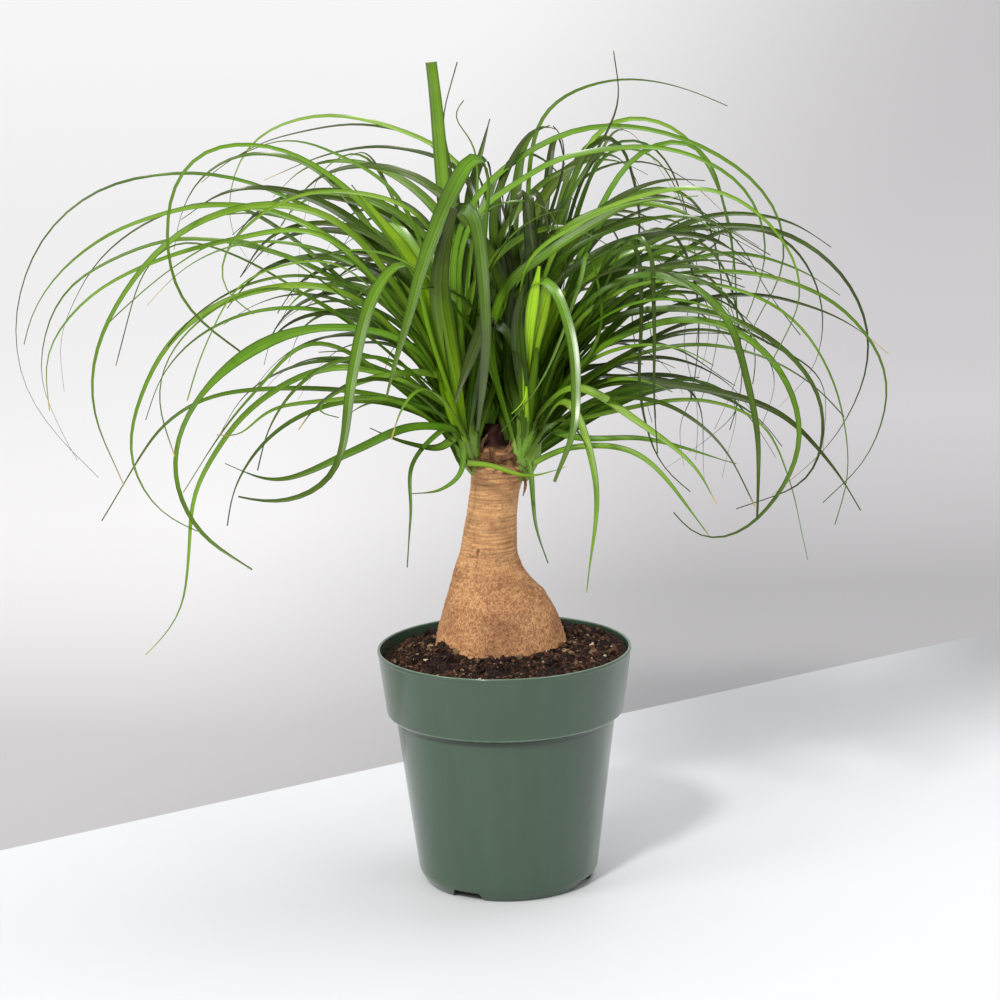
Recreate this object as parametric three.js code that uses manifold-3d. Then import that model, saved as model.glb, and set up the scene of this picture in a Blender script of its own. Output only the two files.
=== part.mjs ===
// Potted ponytail palm: a tapered grow pot, its potting mix, a swollen trunk and three heads of
// strap leaves. Millimetres, +Z up, origin at the centre of the pot's flat base, front to -Y.
import * as THREE from 'three';
import { mergeVertices } from 'three/addons/utils/BufferGeometryUtils.js';
import Module from 'manifold-3d';

const wasm = await Module();
wasm.setup();

// Driving dimensions of the pot
const POT_HEIGHT = 155;
const RIM_RADIUS = 82.5;
const RIM_BAND_HEIGHT = 41;
const BAND_FOOT_RADIUS = 77.2;
const STEP_HEIGHT = 4;
const STEP_ROUND = 1.2;
const BODY_TOP_RADIUS = 71.5;
const BODY_FOOT_RADIUS = 58.8;
const BASE_RADIUS = 55;
const BASE_CHAMFER = 7;
const WALL = 1.5;
const FLOOR = 1.8;
const LIP_HEIGHT = 2.6;
const LIP_BULGE = 0.8;
const LIP_ROUND = 0.7;
const NOTCH_WIDTH = 22;
const NOTCH_HEIGHT = 5;
const NOTCH_REACH = 12;
const NOTCH_OFFSET = 4;
const NOTCH_COUNT = 4;
const FIRST_NOTCH_ANGLE = THREE.MathUtils.degToRad(-119);

// Driving dimensions of the potting mix and the gaps between pieces
const SOIL_DROP = 5.5;
const SOIL_MOUND = 6;
const SOIL_BUMP = 1.1;
const SOIL_EDGE_GAP = 0.4;
const GAP = 0.3;

// Driving dimensions of the trunk: its outline is read in the picture, the rest is set here
const TRUNK_BURIED_DEPTH = 32;
const TRUNK_DEPTH_RATIO = 0.9;
const TRUNK_FLUTE = 0.006;
const SHOULDER_RADIUS = 15;
const SHOULDER_RISE = 7;
const STUB_RISE = 15;
const STUB_OFFSET = -1;
const STUB_RADIUS = 7;
const STUB_HEIGHT = 8;
const STUB_TOP_SHARE = 0.9;
const STUB_FOOT_RADIUS = 9.8;
const STUB_FOOT_RISE = 12;
// The foot in the soil, from the bottom up: share of the buried depth and share of the radius
const BURIED_SHARES = [[1, 0.16], [0.86, 0.6], [0.55, 0.88], [0.2, 0.99]];

// Driving dimensions of the leaves
const LEAF_KEEL = 1.1;
const KEEL_TAPER = 0.35;
const BLADE_TAPER = 2.5;
const LEAF_STEP = 90;
const LEAF_BEND = THREE.MathUtils.degToRad(30);
const LEAF_TIP_WIDTH = 1.2;
const LEAF_LEAN = THREE.MathUtils.degToRad(50);
const LEAF_WIDTH_FACTOR = 1.3;
const RULE_LEAF_WIDTH = 5.5;
const RULE_WIDTH_SHARES = [0.8, 1.2];
const RULE_LENGTHS = [195, 290];
const RULE_RISES = [84, 42];
const RULE_RISE_SPREAD = 8;
const RULE_FALLS = [105, 145];
const RULE_DRIFT = 30;
const BACK_SHORTENING = 0.15;
const BACK_STRAIGHTENING = 25;
const FALL_BEND = 1.2;
const ROOT_SPAN = 0.6;
const ROOT_LEVELS = 8;
const ROOT_DEPTH_SHARE = 0.06;
const ROOT_DEPTH_MOST = 5;
const CORE_HEIGHT = 62;
const CORE_SINK = 7;
// The core of packed leaf bases, from its foot up: height on its axis and share of its radius
const CORE_PROFILE = [
  [-CORE_SINK, 0.4], [3, 0.9], [CORE_HEIGHT * 0.4, 0.9], [CORE_HEIGHT * 0.75, 0.6], [CORE_HEIGHT, 0.25],
];

const POT_SIDES = 40;
const TRUNK_SIDES = 26;
const CORE_SIDES = 10;
const BLADE_SIDES = 3;

// The picture that the outlines are read in: eye distance to the rim's centre in millimetres,
// the eye's downward tilt, the picture's small roll, and lengths in picture pixels.
const EYE_DISTANCE = 1725;
const EYE_TILT = THREE.MathUtils.degToRad(11.7);
const EYE_ROLL = THREE.MathUtils.degToRad(1.2);
const FOCAL_PIXELS = 2650;
const PICTURE_MIDDLE = 500;
const RIM_CENTRE_PIXEL = [504.2, 645.5];
const MM_PER_PIXEL = EYE_DISTANCE / FOCAL_PIXELS;

// Heads: where the core stands on the trunk, the way it points, its radius, the number of leaves
// placed by rule, the middle and half width of the fan they fill seen from above, in degrees, and
// the seed of their random draws.
const LEFT = {
  foot: [-13, -3, 277], points: [-0.3, -0.06, 0.95], radius: 10, ruled: 14, middle: 160, fan: 65, seed: 11,
};
const RIGHT = {
  foot: [14, -5, 273], points: [0.14, -0.12, 0.97], radius: 11, ruled: 14, middle: 20, fan: 65, seed: 23,
};
const BACK = {
  foot: [1, 12, 277], points: [0.04, 0.42, 0.9], radius: 8.5, ruled: 14, middle: 90, fan: 75, seed: 37,
};

// Leaves read in the picture, from near the root to the tip: depth of the tip in millimetres
// (toward the viewer is negative), width in pixels, and the line in pixels.
const LEFT_LEAVES = [
  [40, 6, [[400, 270], [300, 203], [200, 172], [100, 188], [39, 242], [15, 319], [30, 400], [98, 478]]],
  [-30, 7, [[338, 244], [279, 214], [200, 205], [100, 239], [59, 276], [27, 319], [24, 344]]],
  [70, 5, [[338, 280], [259, 248], [181, 238], [100, 266], [59, 298], [40, 378], [48, 406], [78, 461]]],
  [-60, 6, [[322, 233], [238, 239], [152, 262], [84, 301], [46, 353], [48, 410]]],
  [90, 4, [[230, 203], [152, 219], [100, 258], [72, 305], [59, 341], [63, 392]]],
  [-80, 8, [[338, 221], [259, 205], [179, 233], [125, 289], [100, 341], [92, 400], [123, 487]]],
  [-40, 3, [[179, 240], [143, 273], [127, 323], [116, 367]]],
  [-110, 3, [[238, 239], [179, 264], [109, 323]]],
  [-90, 9, [[416, 276], [339, 183], [268, 145], [200, 152], [169, 201], [179, 298], [240, 353]]],
  [60, 7, [[322, 173], [250, 153], [200, 176], [176, 230], [174, 250]]],
  [110, 5, [[470, 175], [400, 129], [322, 114], [257, 138], [228, 190], [240, 251], [294, 298]]],
  [140, 4, [[440, 150], [380, 126], [304, 130], [240, 153], [202, 183]]],
  [-50, 6, [[397, 196], [339, 156], [283, 139], [240, 155]]],
  [80, 6, [[470, 180], [400, 147], [339, 151], [263, 182]]],
  [120, 3, [[361, 151], [320, 174], [300, 240], [297, 285]]],
  [150, 3, [[361, 150], [329, 183], [329, 210]]],
  [-120, 6, [[425, 221], [380, 197], [300, 195], [234, 237], [218, 285], [254, 314]]],
  [100, 5, [[340, 242], [279, 217], [220, 215], [184, 230]]],
  [-70, 7, [[345, 292], [259, 290], [186, 324], [143, 390], [131, 463], [152, 506], [198, 531]]],
  [-100, 3, [[286, 288], [220, 305], [166, 360], [157, 397], [175, 456]]],
  [-130, 3, [[340, 265], [279, 265], [234, 290], [206, 342], [188, 401]]],
  [-120, 9, [[410, 345], [322, 328], [256, 348], [190, 410], [175, 472], [200, 531], [252, 568]]],
  [-60, 5, [[421, 407], [341, 391], [220, 395], [164, 425], [132, 472], [100, 521]]],
  [-90, 6, [[440, 400], [340, 367], [257, 403], [197, 487], [189, 558], [181, 612], [145, 654]]],
  [-20, 5, [[313, 342], [254, 394], [218, 440], [184, 492]]],
  [-60, 6, [[400, 403], [322, 402], [270, 410], [238, 435], [216, 435]]],
  [-50, 8, [[443, 378], [389, 376], [336, 393], [316, 411], [339, 418]]],
  [-150, 12, [[430, 340], [405, 257], [371, 300], [352, 372], [332, 481], [286, 504], [238, 497]]],
  [-130, 10, [[448, 429], [407, 428], [353, 452], [279, 480], [224, 463]]],
  [-40, 6, [[440, 448], [407, 443], [370, 428]]],
  [-60, 6, [[440, 432], [412, 465], [412, 515], [407, 567]]],
  [-40, 5, [[461, 472], [440, 491], [411, 494]]],
  [-75, 5, [[466, 464], [490, 466], [529, 476], [566, 466]]],
  [15, 10, [[452, 330], [444, 200], [437, 120], [431, 62]]],
  [40, 4, [[452, 170], [443, 120], [457, 62]]],
  [-110, 10, [[435, 300], [441, 237], [460, 199], [481, 219], [487, 308], [475, 449]]],
  [-90, 9, [[470, 260], [482, 146], [440, 201], [421, 287], [384, 397]]],
  [30, 4, [[476, 150], [452, 115], [464, 101]]],
  [-10, 12, [[452, 360], [445, 308], [438, 262]]],
  [-25, 11, [[455, 400], [430, 330], [405, 262], [385, 232]]],
];

const RIGHT_LEAVES = [
  [60, 6, [[600, 128], [660, 120], [707, 163], [734, 246], [726, 333]]],
  [20, 7, [[560, 135], [621, 124], [696, 144], [773, 201], [787, 269], [751, 324]]],
  [-50, 8, [[500, 190], [580, 154], [660, 147], [739, 181], [768, 251], [746, 319]]],
  [-80, 6, [[560, 240], [640, 197], [717, 190], [780, 235], [803, 290], [773, 360]]],
  [30, 6, [[640, 246], [700, 227], [780, 231], [839, 271], [869, 335], [839, 434], [771, 496]]],
  [-30, 5, [[640, 285], [739, 272], [832, 300], [885, 368], [871, 452], [823, 502]]],
  [70, 7, [[660, 273], [739, 253], [805, 272], [840, 294]]],
  [100, 7, [[620, 290], [694, 256], [723, 237], [717, 222]]],
  [-70, 9, [[560, 260], [621, 228], [696, 216], [771, 255]]],
  [-120, 11, [[529, 262], [586, 221], [640, 202], [698, 197]]],
  [110, 5, [[600, 235], [676, 202], [716, 219], [760, 248]]],
  [130, 4, [[578, 180], [640, 162], [700, 190], [725, 215]]],
  [160, 6, [[575, 160], [608, 131], [632, 169], [643, 230]]],
  [-50, 6, [[590, 330], [628, 308], [640, 400], [664, 470], [689, 491]]],
  [-80, 6, [[600, 340], [644, 305], [654, 378], [658, 454]]],
  [150, 4, [[621, 126], [653, 160], [678, 201]]],
  [-110, 8, [[580, 310], [640, 274], [712, 298], [748, 382], [759, 454], [756, 518]]],
  [-30, 6, [[680, 275], [732, 303], [756, 355], [752, 385]]],
  [-60, 7, [[590, 330], [680, 308], [766, 337], [821, 400], [810, 479], [737, 508]]],
  [40, 4, [[700, 320], [780, 350], [821, 379], [825, 452]]],
  [-90, 7, [[600, 348], [700, 319], [771, 359], [801, 443], [748, 529], [696, 538], [674, 513]]],
  [-50, 8, [[600, 385], [680, 386], [780, 414], [837, 470], [862, 511]]],
  [-100, 8, [[574, 388], [642, 425], [694, 466], [717, 504]]],
  [-60, 6, [[576, 438], [649, 440], [737, 463]]],
  [-80, 6, [[574, 448], [640, 456], [710, 536]]],
  [-110, 7, [[565, 400], [585, 432], [597, 506], [587, 592]]],
  [-120, 9, [[525, 300], [543, 276], [571, 333], [574, 425], [555, 482]]],
  [-45, 4, [[530, 470], [536, 524], [548, 563]]],
  [-70, 4, [[510, 425], [552, 361], [590, 250]]],
  [10, 5, [[560, 220], [600, 144], [620, 97], [614, 51]]],
  [50, 5, [[531, 160], [547, 110], [604, 82], [660, 82], [727, 107]]],
  [60, 4, [[608, 345], [674, 348], [734, 386]]],
  [80, 4, [[660, 339], [735, 334]]],
  [40, 6, [[640, 395], [692, 390], [680, 425], [685, 465]]],
  [60, 5, [[645, 380], [694, 395], [704, 479]]],
  [50, 5, [[670, 385], [739, 402], [714, 434], [664, 469]]],
  [70, 4, [[680, 380], [733, 400], [721, 477]]],
  [0, 4, [[700, 400], [760, 423], [789, 477], [807, 560]]],
  [40, 4, [[690, 330], [760, 348], [774, 382], [761, 425]]],
  [70, 5, [[720, 232], [780, 235], [820, 298], [816, 364], [780, 407]]],
  [-20, 4, [[670, 285], [739, 290], [807, 332], [850, 457], [834, 524]]],
  [40, 6, [[576, 382], [621, 377], [700, 378]]],
  [60, 5, [[583, 418], [621, 402], [667, 388]]],
  [-35, 9, [[530, 420], [525, 372], [531, 300], [538, 268]]],
  [-30, 11, [[533, 400], [535, 345], [550, 305], [555, 285]]],
];

const BACK_LEAVES = [
  [70, 8, [[485, 300], [475, 172], [482, 151], [490, 119]]],
  [60, 12, [[480, 300], [470, 200], [485, 153], [492, 195]]],
  [90, 12, [[510, 300], [515, 200], [531, 133], [550, 126]]],
  [75, 8, [[530, 300], [545, 200], [557, 130], [565, 165]]],
  [120, 6, [[505, 300], [500, 180], [520, 150], [560, 175], [590, 250]]],
  [110, 7, [[470, 320], [440, 240], [400, 200], [350, 205]]],
];

// Trunk outline in the picture, from the soil up: row, left edge and right edge, in pixels
const TRUNK_OUTLINE = [
  [650, 435, 569], [638, 436, 566], [626, 438, 562], [614, 441, 557], [601, 444, 550],
  [590, 447.5, 543], [579, 451, 532], [568, 454, 524], [552, 459, 518], [536, 462, 517],
  [515, 466, 517], [495, 469, 519], [478, 471, 524], [466, 472, 530], [458, 475, 527],
];

const { lerp } = THREE.MathUtils;
const UP = new THREE.Vector3(0, 0, 1);
const TO_VIEWER = new THREE.Vector3(0, -1, 0);

// Turns a picture pixel at a chosen depth into a point of the plant
const rolled = (x, y) => [
  x * Math.cos(EYE_ROLL) + y * Math.sin(EYE_ROLL),
  y * Math.cos(EYE_ROLL) - x * Math.sin(EYE_ROLL),
];
function pixelRay([column, row]) {
  const across = (column - PICTURE_MIDDLE) / FOCAL_PIXELS;
  const above = (PICTURE_MIDDLE - row) / FOCAL_PIXELS;
  const [right, up] = rolled(across, above);
  const forward = Math.cos(EYE_TILT) + up * Math.sin(EYE_TILT);
  return new THREE.Vector3(right, forward, up * Math.cos(EYE_TILT) - Math.sin(EYE_TILT));
}
const EYE = new THREE.Vector3(0, 0, POT_HEIGHT)
  .addScaledVector(pixelRay(RIM_CENTRE_PIXEL).normalize(), -EYE_DISTANCE);
function pointAt(pixel, depth) {
  const ray = pixelRay(pixel);
  return EYE.clone().addScaledVector(ray, (depth - EYE.y) / ray.y);
}

// Repeatable random draws between 0 and 1
function randomDraws(seed) {
  let state = seed;
  return () => {
    state = (Math.imul(state, 1664525) + 1013904223) >>> 0;
    return state / 2 ** 32;
  };
}

// Closed three.js geometry to a solid, and a solid to a named mesh
function toSolid(geometry) {
  geometry.deleteAttribute('normal');
  geometry.deleteAttribute('uv');
  const merged = mergeVertices(geometry, 1e-4);
  const vertProperties = new Float32Array(merged.attributes.position.array);
  const triVerts = new Uint32Array(merged.index.array);
  return new wasm.Manifold(new wasm.Mesh({ numProp: 3, vertProperties, triVerts }));
}
function toMesh(name, solid, look) {
  const { vertProperties, triVerts } = solid.getMesh();
  const geometry = new THREE.BufferGeometry();
  geometry.setAttribute('position', new THREE.BufferAttribute(vertProperties, 3));
  geometry.setIndex(new THREE.BufferAttribute(triVerts, 1));
  geometry.computeVertexNormals();
  const mesh = new THREE.Mesh(geometry, new THREE.MeshStandardMaterial(look));
  mesh.name = name;
  return mesh;
}
function latheSolid(profile, sides) {
  const points = profile.map(([radius, height]) => new THREE.Vector2(radius, height));
  return toSolid(new THREE.LatheGeometry(points, sides).rotateX(Math.PI / 2));
}

// A closed tube whose rings follow a list of stations: place(station, ringX, ringZ) gives the
// point of the ring with unit coordinates ringX and ringZ.
function sweepSolid(sides, stationCount, place) {
  const steps = stationCount - 1;
  const geometry = new THREE.CylinderGeometry(1, 1, steps, sides, steps);
  const position = geometry.attributes.position;
  for (let i = 0; i < position.count; i += 1) {
    const station = Math.round(position.getY(i) + steps / 2);
    const point = place(station, position.getX(i), position.getZ(i));
    position.setXYZ(i, point.x, point.y, point.z);
  }
  return toSolid(geometry);
}

// Pot: one moulded wall turned about Z, with drain notches at the corner of the base
const BAND_FOOT = POT_HEIGHT - RIM_BAND_HEIGHT;
const LIP_FOOT = POT_HEIGHT - LIP_HEIGHT;
const INNER_RIM_RADIUS = RIM_RADIUS - LIP_BULGE - WALL;
const INNER_BAND_RADIUS = BAND_FOOT_RADIUS - WALL;
const INNER_BODY_RADIUS = BODY_TOP_RADIUS - WALL;
const INNER_FOOT_RADIUS = BODY_FOOT_RADIUS - WALL;
const INNER_STEP = BAND_FOOT - STEP_HEIGHT + WALL;
function makePot() {
  const outer = [
    [0, 0],
    [BASE_RADIUS, 0],
    [BODY_FOOT_RADIUS, BASE_CHAMFER],
    [BODY_TOP_RADIUS, BAND_FOOT - STEP_HEIGHT],
    [BAND_FOOT_RADIUS - STEP_ROUND, BAND_FOOT - STEP_HEIGHT / 2],
    [BAND_FOOT_RADIUS, BAND_FOOT],
    [RIM_RADIUS - LIP_BULGE, LIP_FOOT - LIP_ROUND],
    [RIM_RADIUS, LIP_FOOT],
    [RIM_RADIUS, POT_HEIGHT - LIP_ROUND],
    [RIM_RADIUS - LIP_ROUND, POT_HEIGHT],
  ];
  const inner = [
    [INNER_RIM_RADIUS + LIP_ROUND, POT_HEIGHT],
    [INNER_RIM_RADIUS, POT_HEIGHT - LIP_ROUND],
    [INNER_BAND_RADIUS, BAND_FOOT + WALL],
    [INNER_BODY_RADIUS, INNER_STEP],
    [INNER_FOOT_RADIUS, BASE_CHAMFER],
    [BASE_RADIUS - WALL, FLOOR],
    [0, FLOOR],
  ];
  let pot = latheSolid([...outer, ...inner], POT_SIDES);
  for (let i = 0; i < NOTCH_COUNT; i += 1) {
    const angle = FIRST_NOTCH_ANGLE + (i * 2 * Math.PI) / NOTCH_COUNT;
    const notch = new THREE.BoxGeometry(NOTCH_REACH, NOTCH_WIDTH, NOTCH_HEIGHT * 2);
    notch.translate(BASE_RADIUS + NOTCH_OFFSET, 0, 0).rotateZ(angle);
    pot = pot.subtract(toSolid(notch));
  }
  return pot;
}

// Trunk: rings through the outline, a rounded buried foot below and a cut stub on top
function trunkRings() {
  const rings = TRUNK_OUTLINE.map(([row, left, right]) => {
    const low = pointAt([left, row], 0);
    const high = pointAt([right, row], 0);
    return { x: (low.x + high.x) / 2, z: (low.z + high.z) / 2, radius: (high.x - low.x) / 2 };
  });
  const ground = rings[0];
  const buried = BURIED_SHARES.map(([drop, share]) => (
    { x: ground.x, z: ground.z - drop * TRUNK_BURIED_DEPTH, radius: share * ground.radius }));
  const neck = rings[rings.length - 1];
  const stub = [
    { x: 0, z: neck.z + SHOULDER_RISE, radius: SHOULDER_RADIUS },
    { x: 0, z: neck.z + STUB_FOOT_RISE, radius: STUB_FOOT_RADIUS },
    { x: STUB_OFFSET, z: neck.z + STUB_RISE, radius: STUB_RADIUS },
    { x: STUB_OFFSET, z: neck.z + STUB_RISE + STUB_HEIGHT, radius: STUB_RADIUS * STUB_TOP_SHARE },
  ];
  return [...buried, ...rings, ...stub];
}
function makeTrunk(growth) {
  const rings = trunkRings();
  return sweepSolid(TRUNK_SIDES, rings.length, (station, ringX, ringZ) => {
    const { x, z, radius } = rings[station];
    const angle = Math.atan2(ringZ, ringX);
    const flute = 1 + TRUNK_FLUTE * (Math.sin(3 * angle + station) + Math.cos(5 * angle));
    const reach = radius * flute + growth;
    const lift = station === 0 ? -growth : station === rings.length - 1 ? growth : 0;
    return new THREE.Vector3(x + ringX * reach, -ringZ * reach * TRUNK_DEPTH_RATIO, z + lift);
  });
}

// Potting mix: fills the pot with a small gap, mounds toward the trunk and is lumpy on top
const SOIL_EDGE = POT_HEIGHT - SOIL_DROP;
const SOIL_EDGE_RADIUS = THREE.MathUtils.mapLinear(
  SOIL_EDGE, BAND_FOOT + WALL, POT_HEIGHT - LIP_ROUND, INNER_BAND_RADIUS, INNER_RIM_RADIUS) - SOIL_EDGE_GAP;
const SOIL_TOP_RINGS = 7;
const SOIL_TOP_MARGIN = 1;
function makeSoil(trunkHole) {
  const profile = [
    [0, FLOOR + GAP],
    [BASE_RADIUS - WALL - GAP * 2, FLOOR + GAP],
    [INNER_FOOT_RADIUS - GAP * 1.5, BASE_CHAMFER + GAP],
    [INNER_BODY_RADIUS - GAP * 1.5, INNER_STEP + GAP],
    [INNER_BAND_RADIUS - GAP * 1.5, BAND_FOOT + WALL + GAP],
  ];
  for (let ring = 0; ring < SOIL_TOP_RINGS; ring += 1) {
    const share = ring / SOIL_TOP_RINGS;
    profile.push([SOIL_EDGE_RADIUS * (1 - share), SOIL_EDGE + SOIL_MOUND * Math.sin(share * Math.PI / 2)]);
  }
  profile.push([0, SOIL_EDGE + SOIL_MOUND]);
  const points = profile.map(([radius, height]) => new THREE.Vector2(radius, height));
  const geometry = new THREE.LatheGeometry(points, POT_SIDES).rotateX(Math.PI / 2);
  const position = geometry.attributes.position;
  for (let i = 0; i < position.count; i += 1) {
    const [x, y, z] = [position.getX(i), position.getY(i), position.getZ(i)];
    const lumps = Math.sin(x * 0.31 + 1) * Math.cos(y * 0.27) + Math.sin(x * 0.17 - y * 0.23);
    if (z > SOIL_EDGE - SOIL_TOP_MARGIN) position.setZ(i, z + SOIL_BUMP * lumps);
  }
  return toSolid(geometry).subtract(trunkHole);
}

// Shares of a line's length for its stations, closer together where the line bends
const FINE_STEPS = 48;
function stationShares(curve) {
  const stride = curve.getLength() / FINE_STEPS;
  const costs = [0];
  for (let i = 1; i <= FINE_STEPS; i += 1) {
    const bend = curve.getTangentAt((i - 1) / FINE_STEPS).angleTo(curve.getTangentAt(i / FINE_STEPS));
    costs.push(costs[i - 1] + stride / LEAF_STEP + bend / LEAF_BEND);
  }
  const total = costs[FINE_STEPS];
  const steps = Math.max(4, Math.round(total));
  return Array.from({ length: steps + 1 }, (_, station) => {
    const target = (station / steps) * total;
    const above = Math.max(1, costs.findIndex((cost) => cost >= target - 1e-9));
    const part = (target - costs[above - 1]) / (costs[above] - costs[above - 1]);
    return Math.min(1, (above - 1 + part) / FINE_STEPS);
  });
}

// One strap leaf along a smooth line: three-sided, its flat face up, a keel below. The flat face
// leans toward the viewer at the top of the arch and follows the bends both ways from there.
function makeBlade(curve, width, extra) {
  const shares = stationShares(curve);
  const steps = shares.length - 1;
  const places = shares.map((share) => curve.getPointAt(share));
  const tangents = shares.map((share) => curve.getTangentAt(share));
  let apex = 0;
  tangents.forEach((tangent, i) => {
    if (Math.abs(tangent.z) < Math.abs(tangents[apex].z)) apex = i;
  });
  const leaning = UP.clone().multiplyScalar(Math.cos(LEAF_LEAN));
  leaning.addScaledVector(TO_VIEWER, Math.sin(LEAF_LEAN));
  const sides = [];
  const across = (guide, tangent) => guide.clone().addScaledVector(tangent, -guide.dot(tangent)).normalize();
  sides[apex] = new THREE.Vector3().crossVectors(across(leaning, tangents[apex]), tangents[apex]);
  for (let i = apex + 1; i <= steps; i += 1) sides[i] = across(sides[i - 1], tangents[i]);
  for (let i = apex - 1; i >= 0; i -= 1) sides[i] = across(sides[i + 1], tangents[i]);
  return sweepSolid(BLADE_SIDES, steps + 1, (station, ringX, ringZ) => {
    const share = shares[station];
    const breadth = Math.max(width * (1 - share ** BLADE_TAPER), LEAF_TIP_WIDTH) + extra;
    const keel = LEAF_KEEL * (1 - KEEL_TAPER * share) + extra;
    const under = new THREE.Vector3().crossVectors(sides[station], tangents[station]);
    return places[station].clone()
      .addScaledVector(sides[station], (ringX * breadth) / Math.sqrt(3))
      .addScaledVector(under, ((ringZ + 0.5) * keel) / 1.5 - extra / 2);
  });
}

// A point inside a head's core, a share of the way up it
function coreAxis(head) {
  return new THREE.Vector3(...head.points).normalize();
}
function coreRoot(head, share, depth) {
  const root = new THREE.Vector3(...head.foot);
  root.addScaledVector(coreAxis(head), share * CORE_HEIGHT * ROOT_SPAN);
  root.y += Math.sign(depth) * Math.min(Math.abs(depth) * ROOT_DEPTH_SHARE, ROOT_DEPTH_MOST);
  return root;
}

// The line of a leaf that is read in the picture. It rises from the core and bows outward on the
// way to its first read pixel, its depth grows evenly with its length, and a shift bends it clear.
const RISE_SHARE = 0.45;
const RISE_BOW = 0.14;
const RISE_LENGTH = 110;
const FIRST_DEPTH_SHARE = 0.2;
function readCurve(head, index, [depth, , line], shift) {
  const root = coreRoot(head, (index % ROOT_LEVELS) / ROOT_LEVELS, depth);
  const first = pointAt(line[0], root.y + depth * FIRST_DEPTH_SHARE);
  const points = [root];
  if (first.distanceTo(root) > RISE_LENGTH) {
    const rise = root.clone().lerp(first, RISE_SHARE);
    rise.x -= (first.x - root.x) * RISE_BOW;
    points.push(rise);
  }
  const lengths = [root.distanceTo(first)];
  for (let i = 1; i < line.length; i += 1) {
    const step = Math.hypot(line[i][0] - line[i - 1][0], line[i][1] - line[i - 1][1]);
    lengths.push(lengths[i - 1] + step * MM_PER_PIXEL);
  }
  const total = lengths[lengths.length - 1];
  line.forEach((pixel, i) => {
    const share = lengths[i] / total;
    points.push(pointAt(pixel, root.y + depth * share + shift * Math.sqrt(share)));
  });
  return new THREE.CatmullRomCurve3(points, false, 'centripetal');
}

// The line of a leaf placed by rule: it leaves the core at its own height and direction, and its
// slope falls steadily along its length.
const GOLDEN_SHARE = 0.618;
const RULE_STEPS = 9;
function ruleCurve(head, index, draws, shift) {
  const share = index / head.ruled;
  const [lengthDraw, slopeDraw, dropDraw, driftDraw] = draws;
  const fanShare = 2 * ((index * GOLDEN_SHARE) % 1) - 1;
  const heading = head.middle + head.fan * fanShare + shift;
  const backShare = Math.max(0, Math.sin(THREE.MathUtils.degToRad(heading)));
  const length = lerp(...RULE_LENGTHS, lengthDraw) * (1 - BACK_SHORTENING * backShare);
  const rise = lerp(...RULE_RISES, share) + RULE_RISE_SPREAD * (slopeDraw - 0.5);
  const fall = lerp(...RULE_FALLS, dropDraw) - BACK_STRAIGHTENING * backShare;
  const points = [coreRoot(head, 1 - share, 0)];
  for (let i = 1; i <= RULE_STEPS; i += 1) {
    const along = (i - 0.5) / RULE_STEPS;
    const slope = THREE.MathUtils.degToRad(rise - fall * along ** FALL_BEND);
    const way = THREE.MathUtils.degToRad(heading + RULE_DRIFT * (driftDraw - 0.5) * along);
    const step = new THREE.Vector3(
      Math.cos(slope) * Math.cos(way), Math.cos(slope) * Math.sin(way), Math.sin(slope));
    points.push(points[i - 1].clone().addScaledVector(step, length / RULE_STEPS));
  }
  return new THREE.CatmullRomCurve3(points, false, 'centripetal');
}

// A core of packed leaf bases: narrow at its foot on the trunk, fuller above, closing at the top
function makeCore(head) {
  const axis = coreAxis(head);
  const side = new THREE.Vector3().crossVectors(TO_VIEWER, axis).normalize();
  const other = new THREE.Vector3().crossVectors(side, axis);
  return sweepSolid(CORE_SIDES, CORE_PROFILE.length, (station, ringX, ringZ) => {
    const [height, share] = CORE_PROFILE[station];
    return new THREE.Vector3(...head.foot)
      .addScaledVector(axis, height)
      .addScaledVector(side, ringX * share * head.radius)
      .addScaledVector(other, ringZ * share * head.radius);
  });
}

// The leaves of a head, each with its line for a given shift and its width
function readLeaves(head, rows) {
  return rows.map((row, index) => ({
    width: row[1] * MM_PER_PIXEL * LEAF_WIDTH_FACTOR,
    lineFor: (shift) => readCurve(head, index, row, shift),
  }));
}
function ruledLeaves(head) {
  const draw = randomDraws(head.seed);
  return Array.from({ length: head.ruled }, (_, index) => {
    const draws = [draw(), draw(), draw(), draw()];
    const width = RULE_LEAF_WIDTH * lerp(...RULE_WIDTH_SHARES, draw());
    return { width, lineFor: (shift) => ruleCurve(head, index, draws, shift) };
  });
}

// Sinks leaves into a head. A leaf that would cross another head is bent a little further each
// way until it is clear by the gap.
const SHIFTS = [0, -7, 7, -14, 14, -21, 21, -30, 30, -40, 40, -52, 52];
function grow(head, leaves, otherHeads) {
  const blades = [];
  for (const { width, lineFor } of leaves) {
    const shift = SHIFTS.find((candidate) => {
      const wide = makeBlade(lineFor(candidate), width, GAP * 2);
      return otherHeads.every((other) => wide.intersect(other).isEmpty());
    });
    if (shift !== undefined) blades.push(makeBlade(lineFor(shift), width, 0));
  }
  return wasm.Manifold.union([head, ...blades]);
}

const trunk = makeTrunk(0);
const trunkHole = makeTrunk(GAP);
const pot = makePot();
const soil = makeSoil(trunkHole);
let headLeft = grow(makeCore(LEFT), readLeaves(LEFT, LEFT_LEAVES), []);
let headRight = grow(makeCore(RIGHT), readLeaves(RIGHT, RIGHT_LEAVES), [headLeft]);
let headBack = grow(makeCore(BACK), readLeaves(BACK, BACK_LEAVES), [headLeft, headRight]);
headLeft = grow(headLeft, ruledLeaves(LEFT), [headRight, headBack]);
headRight = grow(headRight, ruledLeaves(RIGHT), [headLeft, headBack]);
headBack = grow(headBack, ruledLeaves(BACK), [headLeft, headRight]);

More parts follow.
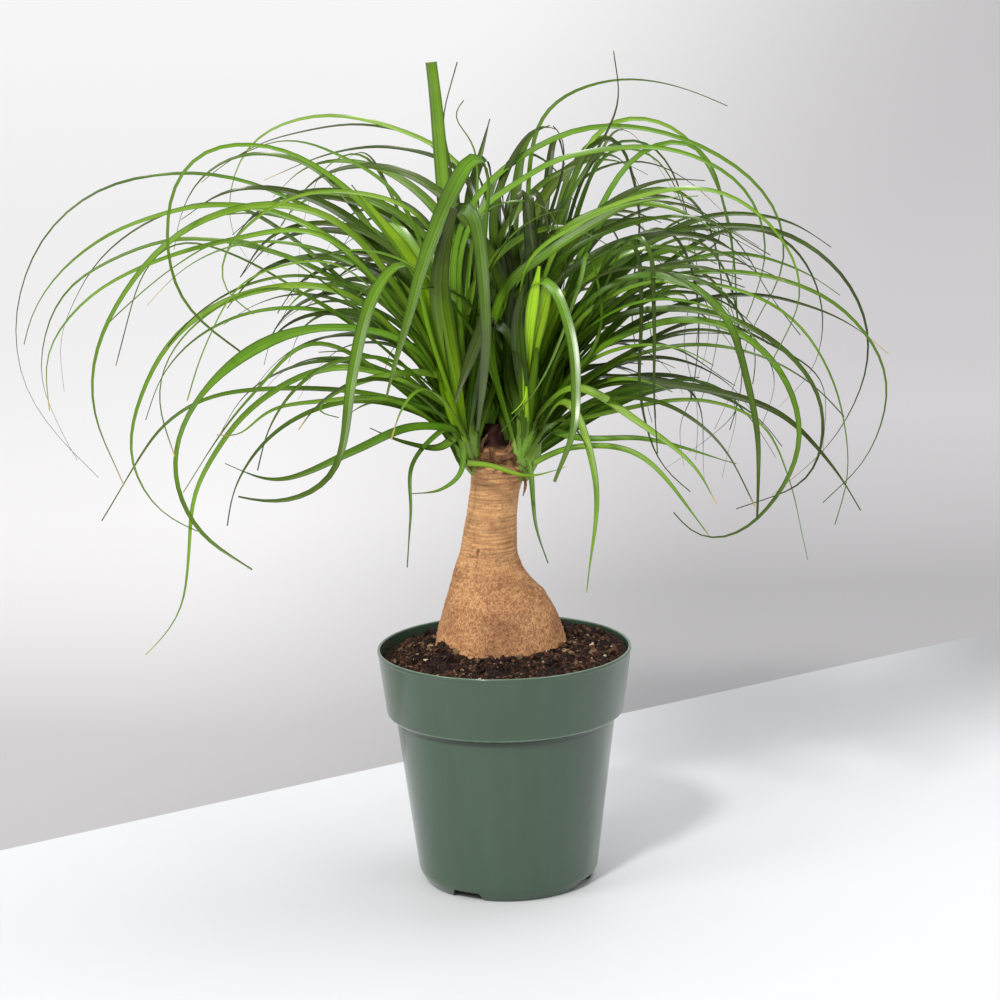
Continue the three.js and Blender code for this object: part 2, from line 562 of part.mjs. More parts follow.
// A head sits on the trunk's shoulder. Edges shorter than a few hundredths of a millimetre are merged,
// and slivers that the trunk cuts off inside the head are dropped.
const SHORTEST_EDGE = 0.03;
function seat(head) {
  const cut = head.subtract(trunkHole).simplify(SHORTEST_EDGE);
  return cut.decompose().sort((a, b) => b.volume() - a.volume())[0];
}

const palm = new THREE.Group();
palm.add(toMesh('pot', pot, { color: 0x2f4f3c, roughness: 0.3, metalness: 0 }));
palm.add(toMesh('soil', soil, { color: 0x3a281d, roughness: 0.95, metalness: 0 }));
palm.add(toMesh('trunk', trunk, { color: 0xb98e62, roughness: 0.85, metalness: 0 }));
palm.add(toMesh('head_left', seat(headLeft), { color: 0x4c8a35, roughness: 0.45, metalness: 0 }));
palm.add(toMesh('head_right', seat(headRight), { color: 0x4c8a35, roughness: 0.45, metalness: 0 }));
palm.add(toMesh('head_back', seat(headBack), { color: 0x2f5e28, roughness: 0.45, metalness: 0 }));

export default palm;
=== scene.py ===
import math
import random

import bmesh
import bpy
from mathutils import Matrix, Vector, noise


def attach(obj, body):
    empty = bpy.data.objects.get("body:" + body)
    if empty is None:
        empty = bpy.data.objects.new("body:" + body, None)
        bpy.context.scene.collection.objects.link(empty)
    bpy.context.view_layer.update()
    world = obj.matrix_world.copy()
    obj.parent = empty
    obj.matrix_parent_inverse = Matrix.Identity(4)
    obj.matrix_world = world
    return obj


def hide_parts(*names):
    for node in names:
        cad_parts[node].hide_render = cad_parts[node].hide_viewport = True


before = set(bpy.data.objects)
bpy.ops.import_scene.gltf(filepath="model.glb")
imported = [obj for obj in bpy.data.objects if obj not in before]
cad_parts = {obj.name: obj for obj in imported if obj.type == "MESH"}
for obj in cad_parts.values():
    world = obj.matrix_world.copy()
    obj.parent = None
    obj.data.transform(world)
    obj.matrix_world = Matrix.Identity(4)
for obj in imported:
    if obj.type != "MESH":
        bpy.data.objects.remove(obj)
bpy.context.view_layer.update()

# Grow pot: one thin moulded shell of glossy green plastic, with a tall rim band, a rounded lip
# and a tapered body. Four drain notches are cut through the rounded corner of its base.
MM = 0.001
POT_HEIGHT = 155 * MM
RIM_RADIUS = 82.5 * MM
BAND_HEIGHT = 41 * MM
BAND_FOOT_RADIUS = 77.2 * MM
STEP_HEIGHT = 4 * MM
BODY_TOP_RADIUS = 71.5 * MM
BODY_FOOT_RADIUS = 58.8 * MM
BASE_RADIUS = 55 * MM
BASE_CHAMFER = 7 * MM
WALL = 1.5 * MM
FLOOR = 1.8 * MM
LIP_HEIGHT = 2.6 * MM
LIP_BULGE = 0.35 * MM
POT_SIDES = 160
NOTCH_WIDTH = 23 * MM
NOTCH_TAPER = 0.22
NOTCH_HEIGHT = 5.4 * MM
NOTCH_INNER = 38 * MM
NOTCH_OUTER = 65 * MM
NOTCH_ANGLES = [math.radians(-119 + 90 * turn) for turn in range(4)]
POT_GREEN = (0.029, 0.063, 0.035, 1)
POT_GREEN_WORN = (0.043, 0.087, 0.051, 1)
# Pale edge colour: partly rubbed wear, partly a painted highlight on the lip and the band's foot.
POT_EDGE_WEAR_AND_HIGHLIGHT = (0.17, 0.25, 0.18, 1)
# Painted shade under the band's step, and how far it spreads:
POT_PAINTED_SHADE = (0.006, 0.018, 0.008, 1)
EDGE_WEAR_AND_HIGHLIGHT_HEIGHT = 0.7 * MM
PAINTED_SHADE_HEIGHT = 3.5 * MM
BAND_EDGE_DROP = 0.8 * MM
POT_WAVE_DEPTH = 0.6 * MM
POT_GRAIN_DEPTH = 0.008 * MM


def rounded_outline(corners, steps=5):
    """Outline points of (radius, height, rounding) corners, each corner cut back into a curve."""
    outline = []
    for i, (radius, height, rounding) in enumerate(corners):
        corner = Vector((radius, height))
        if rounding == 0:
            outline.append(corner)
            continue
        start = corner + (Vector(corners[i - 1][:2]) - corner).normalized() * rounding
        end = corner + (Vector(corners[i + 1][:2]) - corner).normalized() * rounding
        for step in range(steps + 1):
            t = step / steps
            outline.append(start * (1 - t) ** 2 + corner * 2 * t * (1 - t) + end * t ** 2)
    return outline


def circle(radius, height, sides):
    angles = [2 * math.pi * side / sides for side in range(sides)]
    return [(radius * math.cos(angle), radius * math.sin(angle), height) for angle in angles]


def mesh_from(bm, name):
    mesh = bpy.data.meshes.new(name)
    bm.to_mesh(mesh)
    bm.free()
    return mesh


def looped_mesh(name, loops, closed=False, capped=False):
    """Mesh of quads between loops of points. Closed joins the last loop to the first, and capped
    fills the first and the last from their middle."""
    bm = bmesh.new()
    rings = [[bm.verts.new(point) for point in loop] for loop in loops]
    for low, high in zip(rings, rings[1:] + (rings[:1] if closed else [])):
        for side in range(len(low)):
            follower = (side + 1) % len(low)
            bm.faces.new((low[side], low[follower], high[follower], high[side]))
    for ring in (rings[0], rings[-1]) if capped else ():
        middle = bm.verts.new(sum((vert.co for vert in ring), Vector()) / len(ring))
        for side in range(len(ring)):
            bm.faces.new((ring[(side + 1) % len(ring)], ring[side], middle))
    bmesh.ops.recalc_face_normals(bm, faces=bm.faces)
    return mesh_from(bm, name)


def add_object(name, mesh, material=None):
    piece = bpy.data.objects.new(name, mesh)
    bpy.context.collection.objects.link(piece)
    if material:
        mesh.materials.clear()
        mesh.materials.append(material)
    return piece


def plain_copy(piece):
    """Gives a piece its evaluated mesh in place of its modifiers."""
    evaluated = piece.evaluated_get(bpy.context.evaluated_depsgraph_get())
    mesh = bpy.data.meshes.new_from_object(evaluated)
    piece.modifiers.clear()
    piece.data = mesh


def shade_smooth(mesh, sharp_degrees):
    mesh.shade_smooth()
    mesh.set_sharp_from_angle(angle=math.radians(sharp_degrees))


class Nodes:
    """A node tree being built. Inputs go in by name or place, as values or as sockets to link."""

    def __init__(self, tree):
        self.tree = tree

    def fill(self, node, inputs):
        for name, value in inputs.items():
            if isinstance(value, bpy.types.NodeSocket):
                self.tree.links.new(value, node.inputs[name])
            else:
                node.inputs[name].default_value = value

    def add(self, kind, inputs=None, output=0, **settings):
        """Adds a node and returns one of its outputs."""
        node = self.tree.nodes.new(kind)
        for name, value in settings.items():
            setattr(node, name, value)
        self.fill(node, inputs or {})
        return node.outputs[output]

    def maths(self, operation, *values):
        return self.add("ShaderNodeMath", dict(enumerate(values)), operation=operation)


class Paint(Nodes):
    """A material being built. Its patterns lie in the object's own space."""

    def __init__(self, name, roughness, specular=0.5):
        self.material = bpy.data.materials.new(name)
        self.material.use_nodes = True
        super().__init__(self.material.node_tree)
        self.place = self.add("ShaderNodeTexCoord", output="Object")
        self.cover({"Roughness": roughness, "Specular IOR Level": specular})

    def cover(self, inputs):
        """Feeds inputs of the surface and returns the material."""
        self.fill(self.tree.nodes["Principled BSDF"], inputs)
        return self.material

    def axis(self, name):
        return self.add("ShaderNodeSeparateXYZ", {0: self.place}, name)

    def value(self, name):
        """The value that the mesh carries under a name."""
        return self.add("ShaderNodeAttribute", output="Fac", attribute_name=name)

    def noise(self, scale, detail=4, stretch=(1, 1, 1)):
        spot = self.add("ShaderNodeMapping", {"Vector": self.place, "Scale": stretch})
        return self.add("ShaderNodeTexNoise", {"Vector": spot, "Scale": scale, "Detail": detail}, "Fac")

    def ramp(self, value, *stops):
        """Colours along a value. A stop whose colour is one number is that grey."""
        colours = self.add("ShaderNodeValToRGB", {"Fac": value})
        elements = colours.node.color_ramp.elements
        while len(elements) < len(stops):
            elements.new(1)
        for element, (position, colour) in zip(elements, stops):
            element.position = position
            element.color = colour if isinstance(colour, tuple) else (colour, colour, colour, 1)
        return colours

    def ranged(self, value, low, high, ends=(0, 1), kind="SMOOTHSTEP"):
        """Takes low to the first end and high to the second."""
        return self.add("ShaderNodeMapRange", {
            "Value": value, "From Min": low, "From Max": high, "To Min": ends[0], "To Max": ends[1],
        }, "Result", interpolation_type=kind)

    def mix(self, share, first, second, blend="MIX"):
        inputs = {"Factor": share, "A": first, "B": second}
        return self.add("ShaderNodeMix", inputs, "Result", data_type="RGBA", blend_type=blend)

    def times(self, first, second):
        return self.mix(1, first, second, "MULTIPLY")

    def bump(self, height, distance, strength=1.0, under=None):
        inputs = {"Height": height, "Distance": distance, "Strength": strength}
        if under:
            inputs["Normal"] = under
        return self.add("ShaderNodeBump", inputs)


def moulded_plastic():
    """Green polypropylene: glossy, with faint flow marks, scuffs, pale rubbed edges that are partly a
    painted highlight, and a painted shade below the step."""
    paint = Paint("moulded_plastic", 0.2)
    colour = paint.ramp(paint.noise(70, 6, (1, 1, 0.25)), (0, POT_GREEN), (1, POT_GREEN_WORN))
    patches = paint.ramp(paint.noise(160, 4), (0.3, 0.3), (0.7, 1))

    def ring(height, spread):
        away = paint.maths("ABSOLUTE", paint.maths("SUBTRACT", paint.axis("Z"), height))
        return paint.ranged(away, 0, spread, (1, 0))

    # Painted shade: a dark band on the body just under the band's step.
    colour = paint.mix(ring(POT_HEIGHT - BAND_HEIGHT - STEP_HEIGHT, PAINTED_SHADE_HEIGHT), colour, POT_PAINTED_SHADE)
    # Pale lines at the lip and at the band's foot: partly rubbed wear, partly a painted highlight.
    for height in (POT_HEIGHT, POT_HEIGHT - BAND_HEIGHT - BAND_EDGE_DROP):
        wear_and_highlight = paint.times(ring(height, EDGE_WEAR_AND_HIGHLIGHT_HEIGHT), patches)
        colour = paint.mix(wear_and_highlight, colour, POT_EDGE_WEAR_AND_HIGHLIGHT)
    wave = paint.bump(paint.noise(9, 1, (1, 1, 0.3)), POT_WAVE_DEPTH, 0.25)
    return paint.cover({
        "Base Color": colour, "Roughness": paint.ramp(paint.noise(30, 5), (0, 0.16), (1, 0.32)),
        "Normal": paint.bump(paint.noise(1400, 2), POT_GRAIN_DEPTH, 0.4, wave),
        "Coat Weight": 0.4, "Coat Roughness": 0.12})


band_foot = POT_HEIGHT - BAND_HEIGHT
lip_foot = POT_HEIGHT - LIP_HEIGHT
inner_rim = RIM_RADIUS - LIP_BULGE - WALL
pot_outline = rounded_outline([
    (0, 0, 0),
    (BASE_RADIUS, 0, 1.2 * MM),
    (BODY_FOOT_RADIUS, BASE_CHAMFER, 2.2 * MM),
    (BODY_TOP_RADIUS, band_foot - STEP_HEIGHT, 1.2 * MM),
    (BAND_FOOT_RADIUS, band_foot - 1.2 * MM, 1.6 * MM),
    (RIM_RADIUS - LIP_BULGE, lip_foot, 0.3 * MM),
    (RIM_RADIUS, lip_foot + 0.4 * MM, 0.3 * MM),
    (RIM_RADIUS, POT_HEIGHT, 0.9 * MM),
    (inner_rim, POT_HEIGHT, 0.9 * MM),
    (BAND_FOOT_RADIUS - WALL, band_foot + WALL, 1.2 * MM),
    (BODY_TOP_RADIUS - WALL, band_foot - STEP_HEIGHT + WALL, 1.2 * MM),
    (BODY_FOOT_RADIUS - WALL, BASE_CHAMFER, 2 * MM),
    (BASE_RADIUS - WALL, FLOOR, 1 * MM),
    (0, FLOOR, 0),
])
pot_rings = [circle(point.x, point.y, POT_SIDES) for point in pot_outline[1:-1]]
pot = add_object("grow_pot", looped_mesh("grow_pot", pot_rings, capped=True), moulded_plastic())
cutter_bm = bmesh.new()
for angle in NOTCH_ANGLES:
    for vert in bmesh.ops.create_cube(cutter_bm, size=1)["verts"]:
        lift = math.copysign(NOTCH_HEIGHT, vert.co.z)
        across = vert.co.y * NOTCH_WIDTH * (1 - NOTCH_TAPER * lift / NOTCH_HEIGHT)
        out = NOTCH_OUTER if vert.co.x > 0 else NOTCH_INNER
        vert.co = (out * math.cos(angle) - across * math.sin(angle),
                   out * math.sin(angle) + across * math.cos(angle), lift)
cutter = add_object("notch_cutter", mesh_from(cutter_bm, "notch_cutter"))
cut = pot.modifiers.new("drain_notches", "BOOLEAN")
cut.operation = "DIFFERENCE"
cut.solver = "EXACT"
cut.object = cutter
plain_copy(pot)
bpy.data.objects.remove(cutter)
shade_smooth(pot.data, 38)
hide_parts("pot")
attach(pot, "root")

# Trunk: one grown caudex of tan corky bark. It swells at the soil and bulges to the right, narrows
# to a neck ringed with leaf scars, and ends in a dark cut stub between the leafy heads.
EYE_DISTANCE = 1725 * MM
EYE_TILT = math.radians(11.7)
EYE_ROLL = math.radians(1.2)
FOCAL_PIXELS = 2650
PICTURE_WIDTH = 1000
RIM_CENTRE_PIXEL = (504.2, 645.5)
TRUNK_OUTLINE = [
    (650, 435, 569), (638, 436, 566), (626, 438, 562), (614, 441, 557), (601, 444, 550),
    (590, 447.5, 543), (579, 451, 532), (568, 454, 524), (552, 459, 518), (536, 462, 517), (515, 466, 517),
    (495, 469, 519), (478, 471, 524), (466, 472, 530), (458, 475, 527),
]
TRUNK_BURIED_DEPTH = 32 * MM
TRUNK_DEPTH_RATIO = 0.9
TRUNK_FLUTE = 0.006
TRUNK_LEAST_RADIUS = 0.3 * MM
# The buried foot narrows downward: shares of its depth and of the radius at the soil. The stub rises
# from the neck: millimetres to the right, above the neck and of radius.
BURIED_RINGS = [(1, 0.16), (0.86, 0.6), (0.55, 0.88), (0.2, 0.99)]
STUB_RINGS = [(0, 7, 15), (-2, 12, 11), (-4, 15, 8), (-4, 20.6, 7.6), (-4, 23, 4)]
STUB_BARE_RISE = 7 * MM
STUB_BARE_FADE = 3 * MM
TRUNK_SIDES = 240
TRUNK_ROWS = 300
SCAR_SPACING = 3.6 * MM
WRINKLE_SPACING = 1.25 * MM
GROOVE_DEPTH = 0.5 * MM
SWELL = 0.4 * MM
SMALL_SWELL = 0.25 * MM
STUB_SWELL = 2 * MM
STUB_SMALL_SWELL = 2.4 * MM
CORK_DEPTH = 0.5 * MM
THREAD_DEPTH = 0.3 * MM
BARK_GRAIN_DEPTH = 0.2 * MM
PLATE_COUNT = 260
STAIN_PIXEL = (503, 630)
STAIN_WIDTH = 17 * MM
CRACK_ANGLE = math.radians(-113)
CRACK_COLUMN = 475
CRACK_ROWS = (547, 578)
CRACK_WIDTH = 0.4 * MM
CRACK_WANDER = 1.3 * MM
CRACK_TOP_FADE = 3 * MM
CRACK_FOOT_FADE = 20 * MM
KNOT_WIDTH = 1.25 * MM
KNOT_HEIGHT = 1.8 * MM
RINGED_FROM = -12 * MM
RINGED_TO = 22 * MM
SCURF_FROM = -13 * MM
SCURF_TO = 2 * MM
BARK_TAN = (0.37, 0.175, 0.082, 1)
BARK_PALE = (0.55, 0.31, 0.145, 1)
BARK_ORANGE = (0.43, 0.185, 0.08, 1)
BULB_TAN = (0.47, 0.24, 0.108, 1)
BULB_BROWN = (0.33, 0.155, 0.075, 1)
BULB_STAIN = (0.21, 0.09, 0.046, 1)
BULB_PINK = (0.54, 0.295, 0.145, 1)
BARK_DARK = (0.17, 0.075, 0.032, 1)
STUB_RED = (0.013, 0.003, 0.002, 1)
STUB_BROWN = (0.04, 0.011, 0.006, 1)
SCURF_BROWN = (0.13, 0.055, 0.025, 1)


def pixel_ray(column, row):
    """Direction from the eye through a pixel of the picture."""
    across = (column - PICTURE_WIDTH / 2) / FOCAL_PIXELS
    above = (PICTURE_WIDTH / 2 - row) / FOCAL_PIXELS
    right = across * math.cos(EYE_ROLL) + above * math.sin(EYE_ROLL)
    up = above * math.cos(EYE_ROLL) - across * math.sin(EYE_ROLL)
    forward = math.cos(EYE_TILT) + up * math.sin(EYE_TILT)
    return Vector((right, forward, up * math.cos(EYE_TILT) - math.sin(EYE_TILT)))


EYE = Vector((0, 0, POT_HEIGHT)) - pixel_ray(*RIM_CENTRE_PIXEL).normalized() * EYE_DISTANCE


def point_at(pixel, depth):
    """The point of the plant that a pixel shows at a depth along Y."""
    ray = pixel_ray(*pixel)
    return EYE + ray * ((depth - EYE.y) / ray.y)


def between(values, t):
    """Smooth value through a list at a place counted in list steps."""
    i = min(int(t), len(values) - 2)
    u = t - i
    a, b, c, d = (values[max(0, min(len(values) - 1, i + k))] for k in (-1, 0, 1, 2))
    bend = (2 * a - 5 * b + 4 * c - d) * u ** 2 + (3 * b - a - 3 * c + d) * u ** 3
    return 0.5 * (2 * b + (c - a) * u + bend)


def limited(value):
    return max(0, min(1, value))


def hill(away, width):
    """1 where nothing is away, falling off over a width."""
    return math.exp(-((away / width) ** 2))


outline_rings = []
for row, left, right in TRUNK_OUTLINE:
    low = point_at((left, row), 0)
    high = point_at((right, row), 0)
    outline_rings.append(Vector(((low.x + high.x) / 2, (low.z + high.z) / 2, (high.x - low.x) / 2)))
ground, neck = outline_rings[0], outline_rings[-1]
trunk_rings = [
    *(Vector((ground.x, ground.y - drop * TRUNK_BURIED_DEPTH, share * ground.z))
      for drop, share in BURIED_RINGS),
    *outline_rings,
    *(Vector((aside * MM, neck.y + rise * MM, radius * MM)) for aside, rise, radius in STUB_RINGS),
]
crack_top, crack_foot = (point_at((CRACK_COLUMN, row), 0).z for row in CRACK_ROWS)


def trunk_point(t, angle):
    """Smooth skin of the trunk at a place along its rings, before any bark."""
    ring = between(trunk_rings, t)
    flute = 1 + TRUNK_FLUTE * (math.sin(3 * angle + t) + math.cos(5 * angle))
    reach = max(ring.z, TRUNK_LEAST_RADIUS) * flute
    return Vector((ring.x + reach * math.cos(angle), reach * TRUNK_DEPTH_RATIO * math.sin(angle), ring.y))


def crack_depth(point, angle, reach):
    """The upright crack in front and the small knot at its upper end."""
    aside = (angle - CRACK_ANGLE) * reach + noise.noise(Vector((0, 0, point.z * 160))) * CRACK_WANDER
    under_top = limited((crack_top - point.z) / CRACK_TOP_FADE)
    inside = under_top * limited((point.z - crack_foot) / CRACK_FOOT_FADE)
    knot = math.hypot(aside / KNOT_WIDTH, (point.z - crack_top) / KNOT_HEIGHT)
    return inside * hill(aside, CRACK_WIDTH) - 0.5 * hill(knot - 1.6, 0.5) + 2.4 * hill(knot, 0.7)


def bark_relief(point, angle, reach):
    """Depth of the bark's grooves at a point: broken rings and wrinkles on the neck, cracked plates
    at its foot and fine winding ridges of cork below."""
    height = (point.z - ground.y) / (neck.y - ground.y)
    ringed = limited((height - 0.25) / 0.3)
    warp = noise.noise(point * 50) * 0.9 + noise.noise(point * 160) * 0.4
    broken = limited(0.55 + 1.6 * noise.noise(point * 80 + Vector((9, 0, 0))))
    scar = broken * hill((point.z / SCAR_SPACING + warp) % 1 - 0.5, 0.11)
    scar += 0.25 * hill((point.z / WRINKLE_SPACING + warp * 2.2) % 1 - 0.5, 0.22)
    ridge = hill(noise.noise(point * 190), 0.16) + 0.6 * hill(noise.noise(point * 330), 0.16)
    pits = max(0, noise.noise(point * 420 + Vector((0, 3, 0))) - 0.2)
    cork = 0.4 + 1.3 * pits - 0.65 * ridge
    near, next_near = noise.voronoi(point * PLATE_COUNT + Vector((warp, warp, 0)) * 0.5)[0][:2]
    plated = max(0, 1 - abs(height - 0.42) / 0.3) * (0.5 + noise.noise(point * 60))
    plates = 0.75 * max(0, plated) * hill(next_near - near, 0.2)
    return plates + 0.75 * ringed * scar + (0.9 - 0.75 * ringed) * cork + crack_depth(point, angle, reach)


def store_values(mesh, values):
    """Gives every point of a mesh a number, or a direction, under each name."""
    for name, numbers in values.items():
        single = len(numbers) == len(mesh.vertices)
        kind, field = ("FLOAT", "value") if single else ("FLOAT_VECTOR", "vector")
        mesh.attributes.new(name, kind, "POINT").data.foreach_set(field, numbers)


def trunk_mesh():
    """The trunk's skin with its bark, and how grooved, how much of the stub and how stained it is."""
    stain_centre = point_at(STAIN_PIXEL, -ground.z * TRUNK_DEPTH_RATIO)
    grooves, stubness, stains = [], [], []
    loops = []
    for row in range(TRUNK_ROWS + 1):
        t = (len(trunk_rings) - 1) * row / TRUNK_ROWS
        loop = []
        for side in range(TRUNK_SIDES):
            angle = 2 * math.pi * side / TRUNK_SIDES
            point = trunk_point(t, angle)
            spoke = point - Vector((between(trunk_rings, t).x, 0, point.z))
            depth = bark_relief(point, angle if angle < math.pi / 2 else angle - 2 * math.pi, spoke.length)
            swell = noise.noise(point * 35) * SWELL + noise.noise(point * 130) * SMALL_SWELL
            top = limited((point.z - neck.y - STUB_BARE_RISE) / STUB_BARE_FADE)
            rough = noise.noise(point * 190) * STUB_SMALL_SWELL + noise.noise(point * 70) * STUB_SWELL
            swell += top * rough
            outward = spoke.normalized() if spoke.length > 0 else Vector((0, 0, 1))
            loop.append(point + outward * (swell - depth * GROOVE_DEPTH * (1 - top)))
            away = (point - stain_centre).length / STAIN_WIDTH + 0.35 * noise.noise(point * 110)
            grooves.append(depth)
            stubness.append(top)
            stains.append(hill(max(0, away), 1))
        loops.append(loop)
    mesh = looped_mesh("trunk_bark", loops, capped=True)
    store_values(mesh, {"groove": grooves + [0, 0], "stub": [*stubness, stubness[0], stubness[-1]],
                        "stain": stains + [0, 0]})
    return mesh


def corky_bark():
    """Tan bark: golden and orange on the ringed neck, brown and pinkish on the corky bulb, darker
    in its grooves and pits, scurfy at the collar and dark red-brown on the old stub."""
    paint = Paint("corky_bark", 0.8, 0.25)
    patches = paint.noise(42, 5)
    neck_tint = paint.ramp(patches, (0.3, BARK_TAN), (0.5, BARK_PALE), (0.7, BARK_ORANGE))
    bulb_tint = paint.ramp(patches, (0.3, BULB_BROWN), (0.5, BULB_TAN), (0.7, BULB_PINK))
    necked = paint.ranged(paint.axis("Z"), crack_foot + RINGED_FROM, crack_foot + RINGED_TO, kind="LINEAR")
    colour = paint.mix(necked, bulb_tint, neck_tint)
    stain = paint.times(paint.value("stain"), (0.75, 0.75, 0.75, 1))
    colour = paint.mix(stain, colour, BULB_STAIN)
    squiggles = paint.noise(560, 5, (1, 1, 0.7))
    cork = paint.ramp(
        squiggles, (0.3, (0.7, 0.61, 0.54, 1)), (0.44, (0.92, 0.89, 0.86, 1)), (0.5, (1.44, 1.46, 1.42, 1)),
        (0.56, (0.92, 0.89, 0.86, 1)), (0.72, (0.52, 0.42, 0.36, 1)))
    corky = paint.times(colour, cork)
    colour = paint.mix(necked, corky, paint.mix(0.35, colour, corky))
    threads = paint.noise(240, 5, (0.16, 0.16, 3.2))
    thread_shade = paint.ramp(threads, (0.34, (1.3, 1.26, 1.12, 1)), (0.5, 1), (0.74, (0.68, 0.56, 0.48, 1)))
    colour = paint.mix(necked, colour, paint.times(colour, thread_shade))
    colour = paint.mix(paint.ramp(paint.value("groove"), (0.1, 0), (1, 0.75)), colour, BARK_DARK)
    collar = paint.ranged(paint.axis("Z"), neck.y + SCURF_FROM, neck.y + SCURF_TO, kind="LINEAR")
    scurf = paint.ramp(paint.noise(150, 4, (1, 1, 2.4)), (0.42, 0), (0.58, 0.85))
    colour = paint.mix(paint.times(collar, scurf), colour, SCURF_BROWN)
    stub_tint = paint.ramp(paint.noise(120, 3), (0.42, STUB_RED), (0.62, STUB_BROWN))
    coarse = paint.bump(squiggles, CORK_DEPTH, 0.8)
    lined = paint.bump(threads, THREAD_DEPTH, 0.5, coarse)
    return paint.cover({"Base Color": paint.mix(paint.value("stub"), colour, stub_tint),
                        "Normal": paint.bump(paint.noise(1500, 4), BARK_GRAIN_DEPTH, 0.5, lined)})


trunk = add_object("trunk_bark", trunk_mesh(), corky_bark())
shade_smooth(trunk.data, 80)
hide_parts("trunk")
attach(trunk, "root")

# Potting mix: dark peat and composted bark packed round the trunk, lumpy on top, with loose bark
# chips and cream grains of perlite lying on it. It fills the pot to just under the lip.
SOIL_EDGE = POT_HEIGHT - 5.5 * MM
SOIL_MOUND = 6 * MM
SOIL_RINGS = 56
SOIL_SIDES = 180
SOIL_RADIUS = inner_rim - 1.1 * MM
SOIL_LUMP = 2.2 * MM
SOIL_CRUMB = 1.1 * MM
SOIL_SLOPE_RIGHT = 0.032
SOIL_SLOPE_BACK = 0.018
SOIL_BANK = 3.4 * MM
SOIL_BANK_WIDTH = 9 * MM
SOIL_HEAP = (-36 * MM, -19 * MM, 8 * MM, 11 * MM)
SOIL_FOOT = FLOOR + 0.3 * MM
SOIL_HOLLOW = 20 * MM
SOIL_HOLLOW_TOP = 110 * MM
SOIL_OVERLAP = 0.975
CHIP_SIZE = 3.4 * MM
CRUMB_SIZE = 1.7 * MM
PERLITE_SIZE = 2.0 * MM
CHIP_MARGIN = 5 * MM
CRUMB_MARGIN = 2.2 * MM
GRAIN_SHAPES = 4
GRAIN_BLOCK = (1.6, 1.6, 1.6)
GRAIN_LUMPS = 2.6
GRAIN_LEAST_TURN = (-0.9, -0.9, 0)
GRAIN_MOST_TURN = (0.9, 0.9, 6.28)
GRAIN_SIZES = (0.4, 1.4)
GRAIN_LENGTHS = (0.6, 1.0)
PEAT_RELIEF = 1.6 * MM
CHIP_RELIEF = 0.5 * MM
PERLITE_RELIEF = 0.4 * MM
PEAT_DARK = (0.012, 0.007, 0.005, 1)
PEAT_BROWN = (0.05, 0.026, 0.016, 1)
CHIP_COLOURS = [
    (0.0, (0.008, 0.005, 0.004, 1)), (0.5, (0.03, 0.014, 0.009, 1)), (0.78, (0.11, 0.042, 0.024, 1)),
    (0.93, (0.17, 0.085, 0.045, 1)), (1.0, (0.42, 0.29, 0.15, 1)),
]
PERLITE_CREAM = (0.62, 0.52, 0.34, 1)
PERLITE_PORE = (0.4, 0.33, 0.22, 1)


def soil_height(x, y):
    share = min(1, math.hypot(x, y) / SOIL_RADIUS)
    place = Vector((x, y, 0))
    lumps = noise.noise(place * 120) * SOIL_LUMP + noise.noise(place * 330 + Vector((4, 2, 0))) * SOIL_CRUMB
    bank = SOIL_BANK * math.exp(-max(0, math.hypot(x - ground.x, y) - ground.z) / SOIL_BANK_WIDTH)
    slope = SOIL_SLOPE_RIGHT * x + SOIL_SLOPE_BACK * y
    heap_x, heap_y, heap_height, heap_width = SOIL_HEAP
    bank += heap_height * math.exp(-((x - heap_x) ** 2 + (y - heap_y) ** 2) / heap_width ** 2)
    return SOIL_EDGE + SOIL_MOUND * math.cos(share * math.pi / 2) + lumps + bank + slope


def soil_loop(share):
    """Points of one loop between the trunk's skin, share 0, and the pot's wall, share 1."""
    loop = []
    for side, rim in enumerate(circle(SOIL_RADIUS, 0, SOIL_SIDES)):
        skin = trunk_point(len(BURIED_RINGS), 2 * math.pi * side / SOIL_SIDES) * SOIL_OVERLAP
        spot = skin.lerp(Vector(rim), share)
        loop.append((spot.x, spot.y, soil_height(spot.x, spot.y)))
    return loop


def grainy(name, roughness, specular, grain, stops, relief):
    """A matt material whose colour and relief follow one grain."""
    paint = Paint(name, roughness, specular)
    pattern = paint.noise(*grain)
    return paint.cover({"Base Color": paint.ramp(pattern, *stops), "Normal": paint.bump(pattern, *relief)})


def loose_bark():
    """Chips from near black to reddish brown and straw, each its own tone, with fibres along it."""
    paint = Paint("loose_bark", 0.85, 0.25)
    fibres = paint.noise(900, 5)
    colour = paint.ramp(paint.value("tone"), *CHIP_COLOURS)
    shade = paint.ramp(fibres, (0.3, 0.45), (0.7, 1.1))
    relief = paint.bump(fibres, CHIP_RELIEF, 0.9)
    return paint.cover({"Base Color": paint.times(colour, shade), "Normal": relief})


